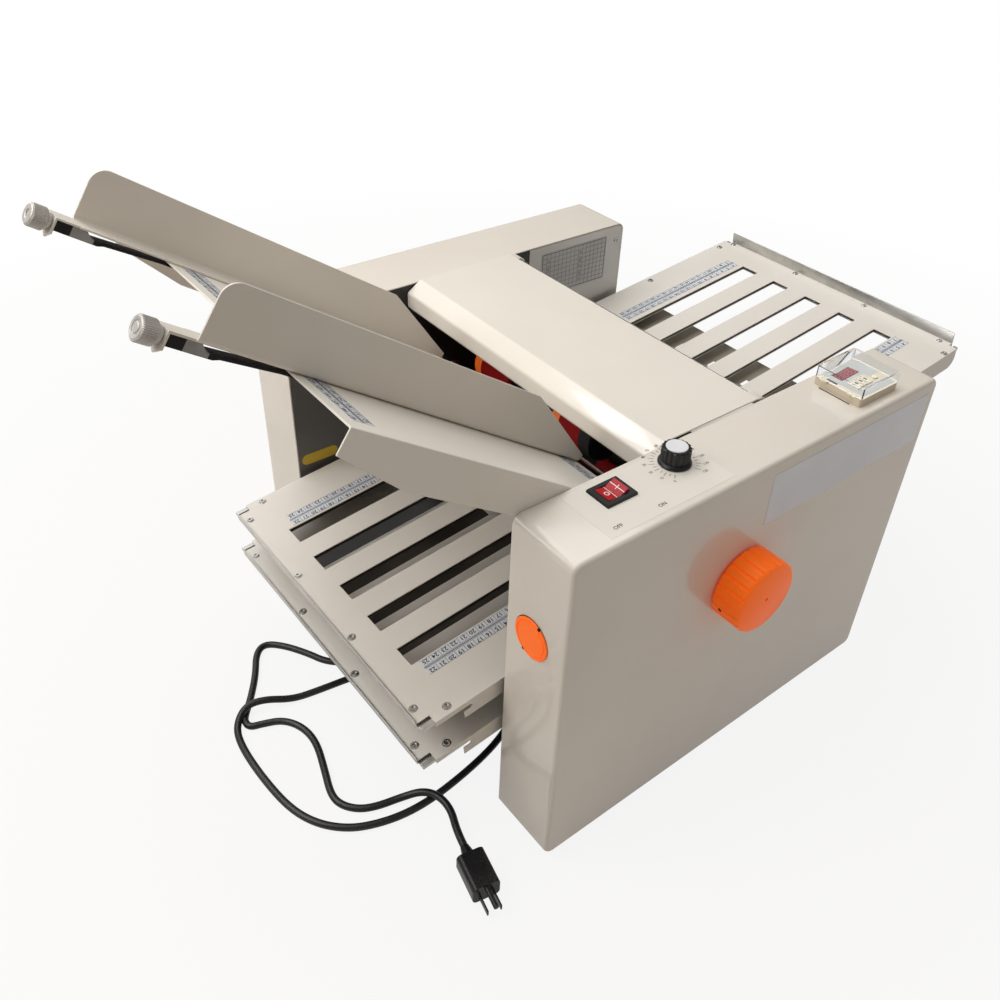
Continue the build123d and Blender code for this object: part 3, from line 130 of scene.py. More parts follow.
ahead = Vector((
    math.sin(CAMERA_AZIMUTH) * math.cos(CAMERA_DOWN),
    math.cos(CAMERA_AZIMUTH) * math.cos(CAMERA_DOWN),
    -math.sin(CAMERA_DOWN),
))
level_right = Vector((math.cos(CAMERA_AZIMUTH), -math.sin(CAMERA_AZIMUTH), 0))
level_up = level_right.cross(ahead)
right = math.cos(CAMERA_ROLL) * level_right + math.sin(CAMERA_ROLL) * level_up
up = -math.sin(CAMERA_ROLL) * level_right + math.cos(CAMERA_ROLL) * level_up
camera_data = bpy.data.cameras.new("camera")
camera_data.lens = CAMERA_LENS
camera_data.shift_x, camera_data.shift_y = CAMERA_SHIFT
camera = bpy.data.objects.new("camera", camera_data)
facing = Matrix((right, up, -ahead)).transposed().to_4x4()
camera.matrix_world = Matrix.Translation(CAMERA_PLACE) @ facing
scene.collection.objects.link(camera)
scene.camera = camera
print("camera at", [round(v, 3) for v in CAMERA_PLACE])


# %% Helpers for shader nodes
def new_material(name):
    """A node material, its tree and its principled shader."""
    material = bpy.data.materials.new(name)
    material.use_nodes = True
    return material, material.node_tree, material.node_tree.nodes["Principled BSDF"]


def feed(tree, node, inputs):
    """Set a node's inputs: to a value, or linked where the output of another node is given."""
    for name, value in inputs.items():
        if isinstance(value, bpy.types.NodeSocket):
            tree.links.new(value, node.inputs[name])
        else:
            node.inputs[name].default_value = value


def add(tree, kind, inputs=None):
    """New shader node of a kind, with its inputs."""
    node = tree.nodes.new("ShaderNode" + kind)
    feed(tree, node, inputs or {})
    return node


def maths(tree, operation, first, second):
    """Result of one operation on two numbers or outputs."""
    node = tree.nodes.new("ShaderNodeMath")
    node.operation = operation
    feed(tree, node, {0: first, 1: second})
    return node.outputs[0]


def mixed(tree, share, first, second, kind="RGBA"):
    """Blend of two colours or, with the kind FLOAT, of two numbers."""
    node = tree.nodes.new("ShaderNodeMix")
    node.data_type = kind
    feed(tree, node, {"Factor": share, "A": first, "B": second})
    return node.outputs["Result"]


def seen_share(tree, in_reflections):
    """1 for rays that see straight or through the clear lid, and a share for mirrored rays."""
    path = add(tree, "LightPath").outputs
    straight = maths(tree, "LESS_THAN", path["Diffuse Depth"], 0.5)
    through = maths(tree, "MULTIPLY", path["Is Transmission Ray"], straight)
    mirrored = maths(tree, "MULTIPLY", path["Is Glossy Ray"], in_reflections)
    seen = maths(tree, "MAXIMUM", path["Is Camera Ray"], mirrored)
    return maths(tree, "MAXIMUM", seen, through)


print("shader helpers ready")

# %% Floor that looks white but lights plainly
FLOOR_SIZE = 6.0
FLOOR_SHADE = (0.62, 0.56, 0.50)
FLOOR_IN_REFLECTIONS = 0.5
FADE_START, FADE_END = 0.45, 1.4
WHITE_BELOW = 0.88

floor_material, tree, shader = new_material("studio_floor")
feed(tree, shader, {"Base Color": (*FLOOR_SHADE, 1), "Roughness": 0.9})
white = add(tree, "Emission", {"Strength": 1.0})
away = add(tree, "VectorMath", {0: add(tree, "TexCoord").outputs["Object"]})
away.operation = "LENGTH"
fade = add(tree, "MapRange", {"Value": away.outputs["Value"], "From Min": FADE_START,
                              "From Max": FADE_END, "To Min": WHITE_BELOW, "To Max": 1.0})
seen = seen_share(tree, FLOOR_IN_REFLECTIONS)
both = add(tree, "MixShader", {
    "Fac": maths(tree, "MULTIPLY", seen, fade.outputs["Result"]),
    1: shader.outputs["BSDF"],
    2: white.outputs["Emission"],
})
feed(tree, tree.nodes["Material Output"], {"Surface": both.outputs["Shader"]})

floor_mesh = bmesh.new()
bmesh.ops.create_grid(floor_mesh, x_segments=1, y_segments=1, size=FLOOR_SIZE / 2)
floor_data = bpy.data.meshes.new("floor")
floor_mesh.to_mesh(floor_data)
floor_mesh.free()
floor = bpy.data.objects.new("floor", floor_data)
floor_data.materials.append(floor_material)
scene.collection.objects.link(floor)
print("floor", FLOOR_SIZE, "m wide")

# %% Soft studio light
ROOM_COLOUR = (1.0, 0.95, 0.89)
ROOM_STRENGTH = 0.30
ROOM_IN_REFLECTIONS = 0.0
LAMPS = {
    "overhead": ((0.1, 0.35, 1.9), (0.0, 0.0, 0.2), 1.5, 15.5),
    "behind": ((-0.3, 1.7, 1.3), (0.0, 0.0, 0.25), 1.2, 5.0),
    "left_side": ((-1.1, 0.35, 1.25), (-0.2, 0.0, 0.17), 1.0, 11.5),
    "operator_side": ((0.7, -1.9, 0.9), (0.0, 0.0, 0.15), 1.2, 1.5),
    "glint": ((-0.515, 0.803, 1.582), (-0.063, -0.115, 0.352), 0.20, 1.4),
}

world = bpy.data.worlds.new("studio")
world.use_nodes = True
scene.world = world
tree = world.node_tree
backdrop = tree.nodes["Background"]
feed(tree, backdrop, {"Color": (1, 1, 1, 1), "Strength": 1.0})
dimmer = add(tree, "Background", {"Color": (*ROOM_COLOUR, 1), "Strength": ROOM_STRENGTH})
both = add(tree, "MixShader", {
    "Fac": seen_share(tree, ROOM_IN_REFLECTIONS),
    1: dimmer.outputs["Background"],
    2: backdrop.outputs["Background"],
})
feed(tree, tree.nodes["World Output"], {"Surface": both.outputs["Shader"]})

for name, (stand, target, size, power) in LAMPS.items():
    lamp_data = bpy.data.lights.new(name, "AREA")
    lamp_data.shape = "SQUARE"
    lamp_data.size = size
    lamp_data.energy = power
    lamp = bpy.data.objects.new(name, lamp_data)
    lamp.location = stand
    lamp.rotation_euler = (Vector(target) - Vector(stand)).to_track_quat("-Z", "Y").to_euler()
    scene.collection.objects.link(lamp)
print("lamps", list(LAMPS))

# %% [markdown]
# ## Mains lead
# The lead comes out of the gland low on the near side plate and lies loosely on the floor in two
# loops. A mesh tube would show its corners, so a smooth spline follows the same route as the
# model's tube, and rises in a low hump where it crosses itself.

# %% Lead as a smooth spline
LEAD_ROUND = 3.6
LEAD_HUMP = 11.4
PLUG_HEIGHT = 10.5
GLAND_HEIGHT = 30.0
LEAD_ROUTE = [
    (130.0, 78.0, GLAND_HEIGHT), (130.0, 108.0, GLAND_HEIGHT), (125.0, 133.0, 15.0),
    (107.0, 149.0, LEAD_ROUND), (80.0, 146.0, LEAD_ROUND), (46.7, 128.9, LEAD_ROUND),
    (8.6, 118.9, LEAD_ROUND), (-40.3, 112.0, LEAD_ROUND), (-73.2, 112.6, LEAD_ROUND),
    (-101.2, 119.4, LEAD_ROUND), (-125.4, 131.1, LEAD_ROUND), (-145.8, 152.8, LEAD_ROUND),
    (-158.1, 182.7, LEAD_ROUND), (-162.8, 229.4, LEAD_ROUND), (-162.7, 272.1, LEAD_ROUND),
    (-156.8, 297.5, LEAD_ROUND), (-140.2, 310.1, LEAD_HUMP), (-120.2, 306.4, LEAD_HUMP),
    (-94.6, 295.6, LEAD_ROUND), (-65.4, 290.4, LEAD_ROUND), (-37.1, 286.4, LEAD_ROUND),
    (-23.0, 283.5, LEAD_ROUND), (-10.5, 287.0, LEAD_ROUND), (-8.0, 298.0, LEAD_ROUND),
    (-17.0, 306.5, LEAD_ROUND), (-31.0, 311.0, LEAD_ROUND), (-43.5, 324.0, LEAD_ROUND),
    (-51.3, 341.7, LEAD_ROUND), (-66.5, 367.1, LEAD_ROUND), (-83.0, 383.0, LEAD_ROUND),
    (-97.0, 375.0, LEAD_ROUND), (-111.1, 347.3, LEAD_ROUND), (-129.5, 321.2, LEAD_ROUND),
    (-140.5, 308.5, LEAD_ROUND), (-147.0, 299.0, LEAD_ROUND), (-146.0, 289.0, LEAD_ROUND),
    (-134.3, 285.5, LEAD_ROUND), (-115.1, 277.6, LEAD_ROUND), (-103.4, 258.1, LEAD_ROUND),
    (-101.7, 232.8, LEAD_ROUND), (-111.5, 199.5, LEAD_ROUND), (-120.1, 172.9, LEAD_ROUND),
    (-118.6, 157.4, LEAD_ROUND), (-107.6, 143.2, LEAD_ROUND), (-91.8, 135.5, LEAD_ROUND),
    (-69.0, 130.5, LEAD_ROUND), (-52.0, 119.9, LEAD_HUMP), (-42.4, 106.5, LEAD_HUMP),
    (-41.5, 87.6, PLUG_HEIGHT), (-50.3, 66.2, PLUG_HEIGHT), (-53.7, 50.0, PLUG_HEIGHT),
]
FOOT = 6.0
lead_curve = bpy.data.curves.new("power_lead", "CURVE")
lead_curve.dimensions = "3D"
lead_curve.bevel_depth = 1.0
lead_curve.bevel_resolution = 6
lead_curve.use_fill_caps = True
lead_curve.resolution_u = 6
spline = lead_curve.splines.new("NURBS")
spline.points.add(len(LEAD_ROUTE) - 1)
for point, (x, y, height) in zip(spline.points, LEAD_ROUTE):
    point.co = (*at(x, y, height - FOOT), 1)
    point.radius = LEAD_ROUND * MM
spline.order_u = 3
spline.use_endpoint_u = True
power_lead = bpy.data.objects.new("power_lead", lead_curve)
scene.collection.objects.link(power_lead)
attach(power_lead, "frame")
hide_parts("power_cord")
print("lead points", len(LEAD_ROUTE))

# %% [markdown]
# ## Paint
# The sheet metal is powder coated in a warm grey cream. Powder coat has a fine orange peel, and
# over a large panel the colour drifts a little. A flat colour would look like plastic, so the
# material mixes two close shades by a large soft noise and adds a small bump from a fine one.
# Object coordinates keep both fixed to the metal.

# %% Helper for every surface finish
DRIFT_RANGE = (0.25, 0.75)
WORN_FROM, WORN_TO, WORN_SHARE = 0.53, 0.62, 0.55
COAT_ROUGHNESS = 0.07
PEEL_DEPTH = 0.0002
SMEAR_LESS, SMEAR_MORE = 0.05, 0.06


def finish(name, colour, second, roughness, peel=0.0, peel_scale=900.0, drift_scale=9.0, metal=0.0,
           coat=0.0, wear=None, stretch=(1, 1, 1), gleam=0.5):
    """Material of two close colours that drift, a fine bump, and optional worn edges or brushing."""
    material, tree, shader = new_material(name)
    spot = add(tree, "TexCoord").outputs["Object"]
    grain = add(tree, "Mapping", {"Vector": spot, "Scale": stretch}).outputs["Vector"]
    drift = add(tree, "TexNoise", {"Vector": grain, "Scale": drift_scale, "Detail": 2.0}).outputs["Fac"]
    ramp = add(tree, "ValToRGB", {"Fac": drift})
    ramp.color_ramp.interpolation = "EASE"
    for number, shade in enumerate((colour, second)):
        ramp.color_ramp.elements[number].position = DRIFT_RANGE[number]
        ramp.color_ramp.elements[number].color = (*shade, 1)
    surface = ramp.outputs["Color"]
    if wear:
        edge = add(tree, "NewGeometry").outputs["Pointiness"]
        sharp = add(tree, "MapRange", {"Value": edge, "From Min": WORN_FROM, "From Max": WORN_TO,
                                       "To Max": WORN_SHARE})
        surface = mixed(tree, sharp.outputs["Result"], surface, (*wear, 1))
    feed(tree, shader, {"Base Color": surface, "Roughness": roughness, "Metallic": metal,
                        "Specular IOR Level": gleam, "Coat Weight": coat,
                        "Coat Roughness": COAT_ROUGHNESS})
    if metal > 0.5:
        smear = add(tree, "MapRange", {"Value": drift, "To Min": max(0.02, roughness - SMEAR_LESS),
                                       "To Max": min(1.0, roughness + SMEAR_MORE)})
        feed(tree, shader, {"Roughness": smear.outputs["Result"]})
    if peel:
        fine = add(tree, "TexNoise", {"Vector": grain, "Scale": peel_scale, "Detail": 2.0})
        bump = add(tree, "Bump", {"Height": fine.outputs["Fac"], "Strength": peel,
                                  "Distance": PEEL_DEPTH})
        feed(tree, shader, {"Normal": bump.outputs["Normal"]})
    return material


print("finish helper ready")

# %% Powder coats
body_paint = finish("body_paint", (0.70, 0.645, 0.565), (0.735, 0.68, 0.60), 0.26, peel=0.12,
                    peel_scale=420.0, coat=0.5, wear=(0.80, 0.76, 0.69))
SHEET = {"peel": 0.15, "peel_scale": 480.0, "coat": 0.15, "wear": (0.80, 0.77, 0.72)}
plate_paint = finish("plate_paint", (0.72, 0.675, 0.61), (0.755, 0.71, 0.645), 0.34, **SHEET)
table_paint = finish("table_paint", (0.77, 0.72, 0.645), (0.80, 0.75, 0.675), 0.34, **SHEET)
wall_paint = finish("wall_paint", (0.52, 0.515, 0.50), (0.60, 0.595, 0.58), 0.30, peel=0.15,
                    peel_scale=480.0, metal=0.55, wear=(0.66, 0.64, 0.60))
guide_paint = finish("guide_paint", (0.68, 0.63, 0.55), (0.72, 0.67, 0.59), 0.33, peel=0.12,
                     peel_scale=480.0, coat=0.15, wear=(0.80, 0.76, 0.70))
print("paints ready")

# %% Bare and plated metal
zinc = finish("zinc", (0.50, 0.49, 0.46), (0.62, 0.61, 0.58), 0.34, peel=0.25, peel_scale=700.0,
              drift_scale=45.0, metal=0.85)
# Zinc painted darker and browner for the short guide plate: painted shade, as it lies under the right
# plate.
zinc_in_painted_shade = finish("zinc_in_painted_shade", (0.42, 0.385, 0.32), (0.50, 0.46, 0.39), 0.42, peel=0.2,
                   drift_scale=30.0, metal=0.1, gleam=0.3)
clamp_steel = finish("clamp_steel", (0.20, 0.195, 0.185), (0.30, 0.29, 0.28), 0.36, peel=0.2,
                     drift_scale=60.0, metal=0.4)
# Near black copy of the backings' zinc: painted shade on the parts of the left backings that lie
# between the plates.
backing_painted_shade = finish("backing_painted_shade", (0.035, 0.030, 0.026), (0.085, 0.072, 0.060), 0.42,
                       peel=0.15, drift_scale=14.0, metal=0.15, gleam=0.25)
turned_steel = finish("turned_steel", (0.58, 0.575, 0.56), (0.68, 0.675, 0.66), 0.22, peel=0.3,
                      peel_scale=120.0, drift_scale=20.0, metal=1.0, stretch=(1, 40, 1))
gear_steel = finish("gear_steel", (0.30, 0.29, 0.27), (0.40, 0.39, 0.36), 0.36, peel=0.25,
                    metal=0.9, wear=(0.62, 0.61, 0.58))
knob_metal = finish("knob_metal", (0.47, 0.445, 0.415), (0.58, 0.55, 0.52), 0.42, peel=0.3,
                    peel_scale=500.0, drift_scale=60.0, metal=0.4)
print("metals ready")

# %% [markdown]
# ## Rubber and plastic
# The feed tyres are plain red rubber, and the fold rollers have red and black bands. Each band
# could be a piece of its own, but one material that picks its colour by the place along the roller
# needs no more faces. The plastics are plainer: orange for handwheel and cap, black for the speed
# knob and the plug, cream for the counter.

# %% Moulded plastics and rubber
orange_plastic = finish("orange_plastic", (1.0, 0.165, 0.008), (1.0, 0.20, 0.012), 0.34, peel=0.10,
                        peel_scale=300.0, drift_scale=18.0, gleam=0.22)
# A faint orange glow is added to the orange plastic: painted light that fills the shade in the
# handwheel's flutes.
feed(orange_plastic.node_tree, orange_plastic.node_tree.nodes["Principled BSDF"],
     {"Emission Color": (1.0, 0.12, 0.006, 1), "Emission Strength": 0.24})
black_plastic = finish("black_plastic", (0.008, 0.008, 0.009), (0.015, 0.015, 0.016), 0.30,
                       peel=0.15, drift_scale=40.0, gleam=0.3)
red_plastic = finish("red_plastic", (0.36, 0.003, 0.008), (0.44, 0.005, 0.012), 0.3, peel=0.05,
                     drift_scale=30.0, gleam=0.3)
cream_plastic = finish("cream_plastic", (0.60, 0.51, 0.37), (0.65, 0.56, 0.42), 0.38, peel=0.1,
                       drift_scale=40.0)
key_plastic = finish("key_plastic", (0.66, 0.60, 0.47), (0.70, 0.64, 0.51), 0.4, peel=0.1)
cord_rubber = finish("cord_rubber", (0.010, 0.010, 0.011), (0.022, 0.022, 0.023), 0.38, peel=0.3,
                     peel_scale=260.0, drift_scale=25.0)
dark_rubber = finish("dark_rubber", (0.016, 0.015, 0.015), (0.030, 0.029, 0.028), 0.7, peel=0.5,
                     peel_scale=350.0, drift_scale=30.0)
# Black rubber for the clamp blocks. The same black also paints shade into the handwheel's holes, the
# cap's gap and notches, and the tyres' near ends.
black_rubber = finish("black_rubber", (0.004, 0.004, 0.004), (0.008, 0.008, 0.008), 0.6, peel=0.4,
                      peel_scale=350.0, gleam=0.25)
motor_black = finish("motor_black", (0.018, 0.018, 0.020), (0.032, 0.032, 0.034), 0.42, peel=0.35,
                     peel_scale=240.0)
tyre_rubber = finish("tyre_rubber", (0.20, 0.001, 0.002), (0.25, 0.002, 0.003), 0.6, peel=0.4,
                     peel_scale=600.0, gleam=0.15)
tyre_hub = finish("tyre_hub", (1.0, 0.165, 0.010), (1.0, 0.20, 0.014), 0.36, peel=0.1)
print("plastics and rubber ready")

# %% Banded rubber of the fold rollers
# The red and black bands are the rollers' own pattern. Their start and the larger black share are set
# so that a black band lies at each roller's near end, as painted shade.
BAND_PITCH = 0.0575
BLACK_SHARE = 0.60
BAND_START = 66.0


def banded(name, red, black):
    """Rubber whose colour changes in bands along the roller."""
    material = finish(name, red, tuple(c * 1.15 for c in red), 0.55, peel=0.45, peel_scale=600.0,
                      gleam=0.15)
    tree = material.node_tree
    colour = tree.nodes["Principled BSDF"].inputs["Base Color"]
    spot = add(tree, "TexCoord").outputs["Object"]
    along = add(tree, "SeparateXYZ", {"Vector": spot}).outputs["Y"]
    past = maths(tree, "SUBTRACT", along, at(0, BAND_START, 0).y)
    in_band = maths(tree, "FLOORED_MODULO", past, BAND_PITCH)
    is_black = maths(tree, "LESS_THAN", in_band, BAND_PITCH * BLACK_SHARE)
    tree.links.new(mixed(tree, is_black, colour.links[0].from_socket, (*black, 1)), colour)
    return material


roller_rubber = banded("roller_rubber", (0.27, 0.003, 0.004), (0.005, 0.005, 0.005))
print("band pitch", BAND_PITCH)


# %% [markdown]
# ## Painted shade on the inner walls
# Shade is painted into the inner walls: black beside the feed roller and dark below it, where deep
# shade falls. Thin dark sheets could stand for it, but a test of the place in the walls' own
# finish adds no thickness.

# %% Painted shade on the inner walls
def paint_shade(material, dark, low, high):
    """Paint shade into a finish between two corners in metres, as they are seen from the side."""
    tree = material.node_tree
    surface = tree.nodes["Principled BSDF"].inputs
    spot = add(tree, "TexCoord").outputs["Object"]
    axes = add(tree, "SeparateXYZ", {"Vector": spot}).outputs
    inside = 1.0
    for axis in (0, 2):
        for test, edge in (("GREATER_THAN", low[axis]), ("LESS_THAN", high[axis])):
            inside = maths(tree, "MULTIPLY", inside, maths(tree, test, axes[axis], edge))
    for name, value, kind in (("Base Color", (*dark, 1), "RGBA"), ("Metallic", 0.0, "FLOAT")):
        socket = surface[name]
        before = socket.links[0].from_socket if socket.links else socket.default_value
        tree.links.new(mixed(tree, inside, before, value, kind), socket)


# A dark field of painted shade under the table, and a black field of painted deep shade beside the feed
# roller.
WALL_SHADE_FROM, WALL_DEEP_SHADE_FROM, WALL_SHADE_END = -5, 120, 303
WALL_DEEP_SHADE_LOW = 205
paint_shade(wall_paint, (0.12, 0.115, 0.11), at(WALL_SHADE_FROM, 0, -5), at(WALL_SHADE_END, 0, BOX_TOP))
paint_shade(wall_paint, (0.008, 0.008, 0.008), at(WALL_DEEP_SHADE_FROM, 0, WALL_DEEP_SHADE_LOW), at(WALL_SHADE_END, 0, BOX_TOP))
print("walls darkened as far as", WALL_SHADE_END)

# %% [markdown]
# ## Softened edges
# Real sheet metal and mouldings have no perfectly sharp edge, and a thin bright line along an edge
# is what makes a panel look solid. Each main piece is a copy of its plain model: the loose
# triangles are merged, flat faces are joined again, and a Bevel modifier rounds the sharp edges
# that are left. Beveling the mesh itself would fix the width for good.

# %% Helpers for pieces
def show(mesh, name, material, body, stands_for=(), smooth=None):
    """Turn a bmesh in metres into a piece that rides on a body."""
    data = bpy.data.meshes.new(name)
    mesh.to_mesh(data)
    mesh.free()
    piece = bpy.data.objects.new(name, data)
    for one in material if isinstance(material, tuple) else (material,):
        data.materials.append(one)
    scene.collection.objects.link(piece)
    if smooth is not None:
        data.polygons.foreach_set("use_smooth", [True] * len(data.polygons))
        data.set_sharp_from_angle(angle=math.radians(smooth))
    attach(piece, body)
    if stands_for:
        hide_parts(*stands_for)
    return piece


record = frame["record"]
BODY_OF = {node: body for body, group in record["behaviour"]["bodies"].items() for node in group}
NEAR_FLAT = math.radians(1.0)
MERGE_WITHIN = 0.00001
SHARP = 32
ROUNDED_FROM = math.radians(40)


def soften(node, material, edge=0.4, segments=2, cuts=()):
    """Copy of a plain piece with its sharp edges rounded by a few tenths of a millimetre."""
    mesh = bmesh.new()
    mesh.from_mesh(nodes[node].data)
    bmesh.ops.remove_doubles(mesh, verts=mesh.verts, dist=MERGE_WITHIN)
    bmesh.ops.dissolve_limit(mesh, angle_limit=NEAR_FLAT, verts=mesh.verts, edges=mesh.edges)
    for spot, way in cuts:
        every = [*mesh.verts, *mesh.edges, *mesh.faces]
        bmesh.ops.bisect_plane(mesh, geom=every, plane_co=spot, plane_no=way)
    piece = show(mesh, node + "_soft", material, BODY_OF[node], (node,), SHARP)
    rounding = piece.modifiers.new("rounded_edges", "BEVEL")
    rounding.width = edge * MM
    rounding.segments = segments
    rounding.limit_method = "ANGLE"
    rounding.angle_limit = ROUNDED_FROM
    rounding.harden_normals = True
    return piece


def dress(node, material):
    """Give a plain piece its finish as it is."""
    data = nodes[node].data
    data.materials.clear()
    data.materials.append(material)


# %% Covers, walls, table and plates
SHADE_PAINTED_PAST = 20.0

for material, edge, group in (
    (body_paint, 0.5, ("near_side_cover", "far_side_cover", "top_cover")),
    (wall_paint, 0.35, ("near_side_plate", "far_side_plate")),
    (table_paint, 0.35, ("feed_table",)),
    (plate_paint, 0.35, ("upper_left_plate", "lower_left_plate", "right_plate")),
):
    for node in group:
        soften(node, material, edge)
soften("right_backing", zinc, 0.25, 1)
# Each left backing is one zinc sheet. Past its outer 20 mm, between the plates, it gets the near black
# finish as painted shade.
for node, sheet in (("upper_left_backing", UPPER_LEFT), ("lower_left_backing", LOWER_LEFT)):
    cut = (sheet @ Vector((SHADE_PAINTED_PAST, 0, 0)), sheet.col[0].xyz.normalized())
    backing = soften(node, (zinc, backing_painted_shade), 0.25, 1, [cut])
    for face in backing.data.polygons:
        face.material_index = int((sheet.inverted() @ face.center).x > SHADE_PAINTED_PAST)
soften("short_guide_plate", zinc_in_painted_shade, 0.25, 1)
for node in ("upper_left_stop", "lower_left_stop", "right_stop"):
    soften(node, zinc, 0.25, 1)
print("sheet metal softened")

# %% Guides and their clamp bars
CLAMP_BLACK_END = -73.0
CLAMP_STEEL_END = -56.0

for node in ("near_guide", "far_guide"):
    soften(node, guide_paint, 0.3)
down_table = TABLE.col[0].xyz.normalized()
clamp_cuts = [(TABLE @ Vector((end, 0, 0)), down_table) for end in (CLAMP_BLACK_END, CLAMP_STEEL_END)]
for node in ("near_clamp_bar", "far_clamp_bar"):
    clamp = soften(node, (black_rubber, clamp_steel), 0.4, 2, clamp_cuts)
    for face in clamp.data.polygons:
        along = (TABLE.inverted() @ face.center).x
        face.material_index = int(CLAMP_BLACK_END < along < CLAMP_STEEL_END)
print("guides softened")

# %% Rollers, gears and the rest of the drive
soften("base_pan", plate_paint, 0.4)
soften("separator_block", black_plastic, 0.6)
for number in range(1, 7):
    soften(f"fold_roller_{number}", roller_rubber, 0.5)
    dress(f"fold_gear_{number}", gear_steel)
for material, group in (
    (gear_steel, ("drive_wheels", "motor_pulley")),
    (turned_steel, ("tie_rods", "drive_shaft", "feed_shaft", "roller_bearings")),
    (dark_rubber, ("rubber_feet", "drive_belts")),
):
    for node in group:
        dress(node, material)
soften("drive_motor", motor_black, 0.6)
soften("rocker_bezel", black_plastic, 0.4)
soften("rocker", red_plastic, 0.4)
soften("counter_base", cream_plastic, 0.5)
PRESET_KEYS = [f"counter_preset_key_{number}" for number in (1, 2, 3)]
for node in ("counter_reset_key", *PRESET_KEYS):
    soften(node, key_plastic, 0.4)
soften("cord_gland", black_plastic, 0.4)

# %% [markdown]
# ## Clear lid of the counter
# The lid is a clear acrylic box with thin walls, so its finish lets light through and bends it a
# little. A see-through colour would be simpler, but it would lose the bright rounded edges that
# draw the box's outline.

# %% Clear lid
clear_plastic, tree, shader = new_material("clear_plastic")
feed(tree, shader, {"Base Color": (0.93, 0.95, 0.965, 1), "Roughness": 0.03, "IOR": 1.2,
                    "Transmission Weight": 1.0})
lid = soften("counter_lid", clear_plastic, 0.25, 2)
lid.visible_shadow = False

# %% [markdown]
# ## Knurled and fluted turning
# The lock knobs at the fence ends are knurled metal, and the speed knob has ribs for the fingers.
# A bump map would leave their outlines smooth, so a ring of small ridges is a circle whose points
# go in and out. The side wall is extruded from that zigzag circle, and both ends get a chamfer.

# %% Helpers for turned and ridged pieces
def corners(made):
    """The points among what an extrusion has made."""
    return [g for g in made if isinstance(g, bmesh.types.BMVert)]


def faces(made):
    """The faces among what an extrusion has made."""
    return [g for g in made if isinstance(g, bmesh.types.BMFace)]


def ridged(mesh, radius, depth, ridges, ridge, chamfer, low):
    """Cylinder along Z in millimetres from height low, with V ridges and chamfered ends."""
    ring = bmesh.ops.create_circle(mesh, cap_ends=True, radius=radius, segments=ridges * 2)["verts"]
    for vert in ring[1::2]:
        vert.co *= (radius - ridge) / radius
    bottom = ring[0].link_faces[0]
    bmesh.ops.translate(mesh, verts=ring, vec=(0, 0, low))
    grown = [bottom]
    wider, narrower = 1 + chamfer / radius, 1 - chamfer / radius
    for scale, rise in ((wider, chamfer), (1, depth - 2 * chamfer), (narrower, chamfer)):
        made = bmesh.ops.extrude_face_region(mesh, geom=grown)["geom"]
        top = corners(made)
        bmesh.ops.translate(mesh, verts=top, vec=(0, 0, rise))
        middle = moved(0, 0, -top[0].co.z)
        bmesh.ops.scale(mesh, verts=top, vec=(scale, scale, 1), space=middle)
        if grown[0].is_valid and grown[0] is not bottom:
            bmesh.ops.delete(mesh, geom=grown, context="FACES_ONLY")
        grown = faces(made)


def turned(mesh, profile, steps=48):
    """Spin a profile of radius and height, in millimetres, round Z."""
    points = [mesh.verts.new((radius, 0, height)) for radius, height in profile]
    edges = [mesh.edges.new(pair) for pair in zip(points, points[1:])]
    bmesh.ops.spin(mesh, geom=points + edges, cent=(0, 0, 0), axis=(0, 0, 1), angle=math.tau,
                   steps=steps, use_merge=True, use_duplicate=False)
    bmesh.ops.remove_doubles(mesh, verts=mesh.verts, dist=0.001)


def join(mesh, part, index=None):
    """Add one bmesh to another, with one of the piece's materials, and free it."""
    if index is not None:
        for face in part.faces:
            face.material_index = index
    data = bpy.data.meshes.new("part")
    part.to_mesh(data)
    part.free()
    mesh.from_mesh(data)
    bpy.data.meshes.remove(data)


def place(mesh, matrix):
    """Move a mesh made in millimetres to its place in metres, with its faces pointing outwards."""
    bmesh.ops.recalc_face_normals(mesh, faces=mesh.faces)
    bmesh.ops.transform(mesh, matrix=matrix, verts=mesh.verts)


print("turning helpers ready")

# %% Lock knobs of the fences
TONGUE_END = -86.4
KNOB_ACROSS = 96.0
KNOB_DROP = 4.0
KNOB_WASHER = [(0, 0.3), (5.4, 0.3), (5.9, 0.8), (5.9, 2.7), (5.5, 3.3), (6.6, 3.3), (7.5, 3.6),
               (7.5, 4.2), (0, 4.2)]
NEAR_KNOB_END = [(0, 15.0), (3.0, 15.0), (3.6, 14.6), (3.8, 14.1), (4.6, 14.1), (4.8, 14.6),
                 (6.6, 14.8), (7.4, 14.2), (7.4, 13.8), (0, 13.8)]
FAR_KNOB_END = [(0, 11.5), (3.2, 11.5), (3.2, 14.7), (3.8, 15.2), (6.6, 15.2), (7.4, 14.6),
                (7.4, 13.8), (0, 13.8)]
KNOB_STEM = [(0, -13.2), (2.4, -13.2), (2.4, 0.4), (0, 0.4)]

for side, name, end in ((-1, "near", NEAR_KNOB_END), (1, "far", FAR_KNOB_END)):
    mesh = bmesh.new()
    turned(mesh, KNOB_WASHER)
    turned(mesh, end)
    ridged(mesh, 7.9, 10.2, ridges=40, ridge=0.5, chamfer=0.5, low=4.0)
    turned(mesh, KNOB_STEM, 20)
    place(mesh, TABLE @ moved(TONGUE_END, side * KNOB_ACROSS, -KNOB_DROP) @ spun(-90, "Y"))
    show(mesh, f"{name}_knurled_knob", knob_metal, f"{name}_lock_knob",
         (f"{name}_lock_knob",), smooth=28)
print("knurled knobs made")

# %% [markdown]
# ## Handwheel
# The orange moulded wheel turns the rollers by hand. Its flutes are points of a circle drawn in,
# so one extrusion carries them along the rim, and three short steps round the outer edge. Cutting
# the grooves out with a boolean would also work, but it leaves ragged triangles.

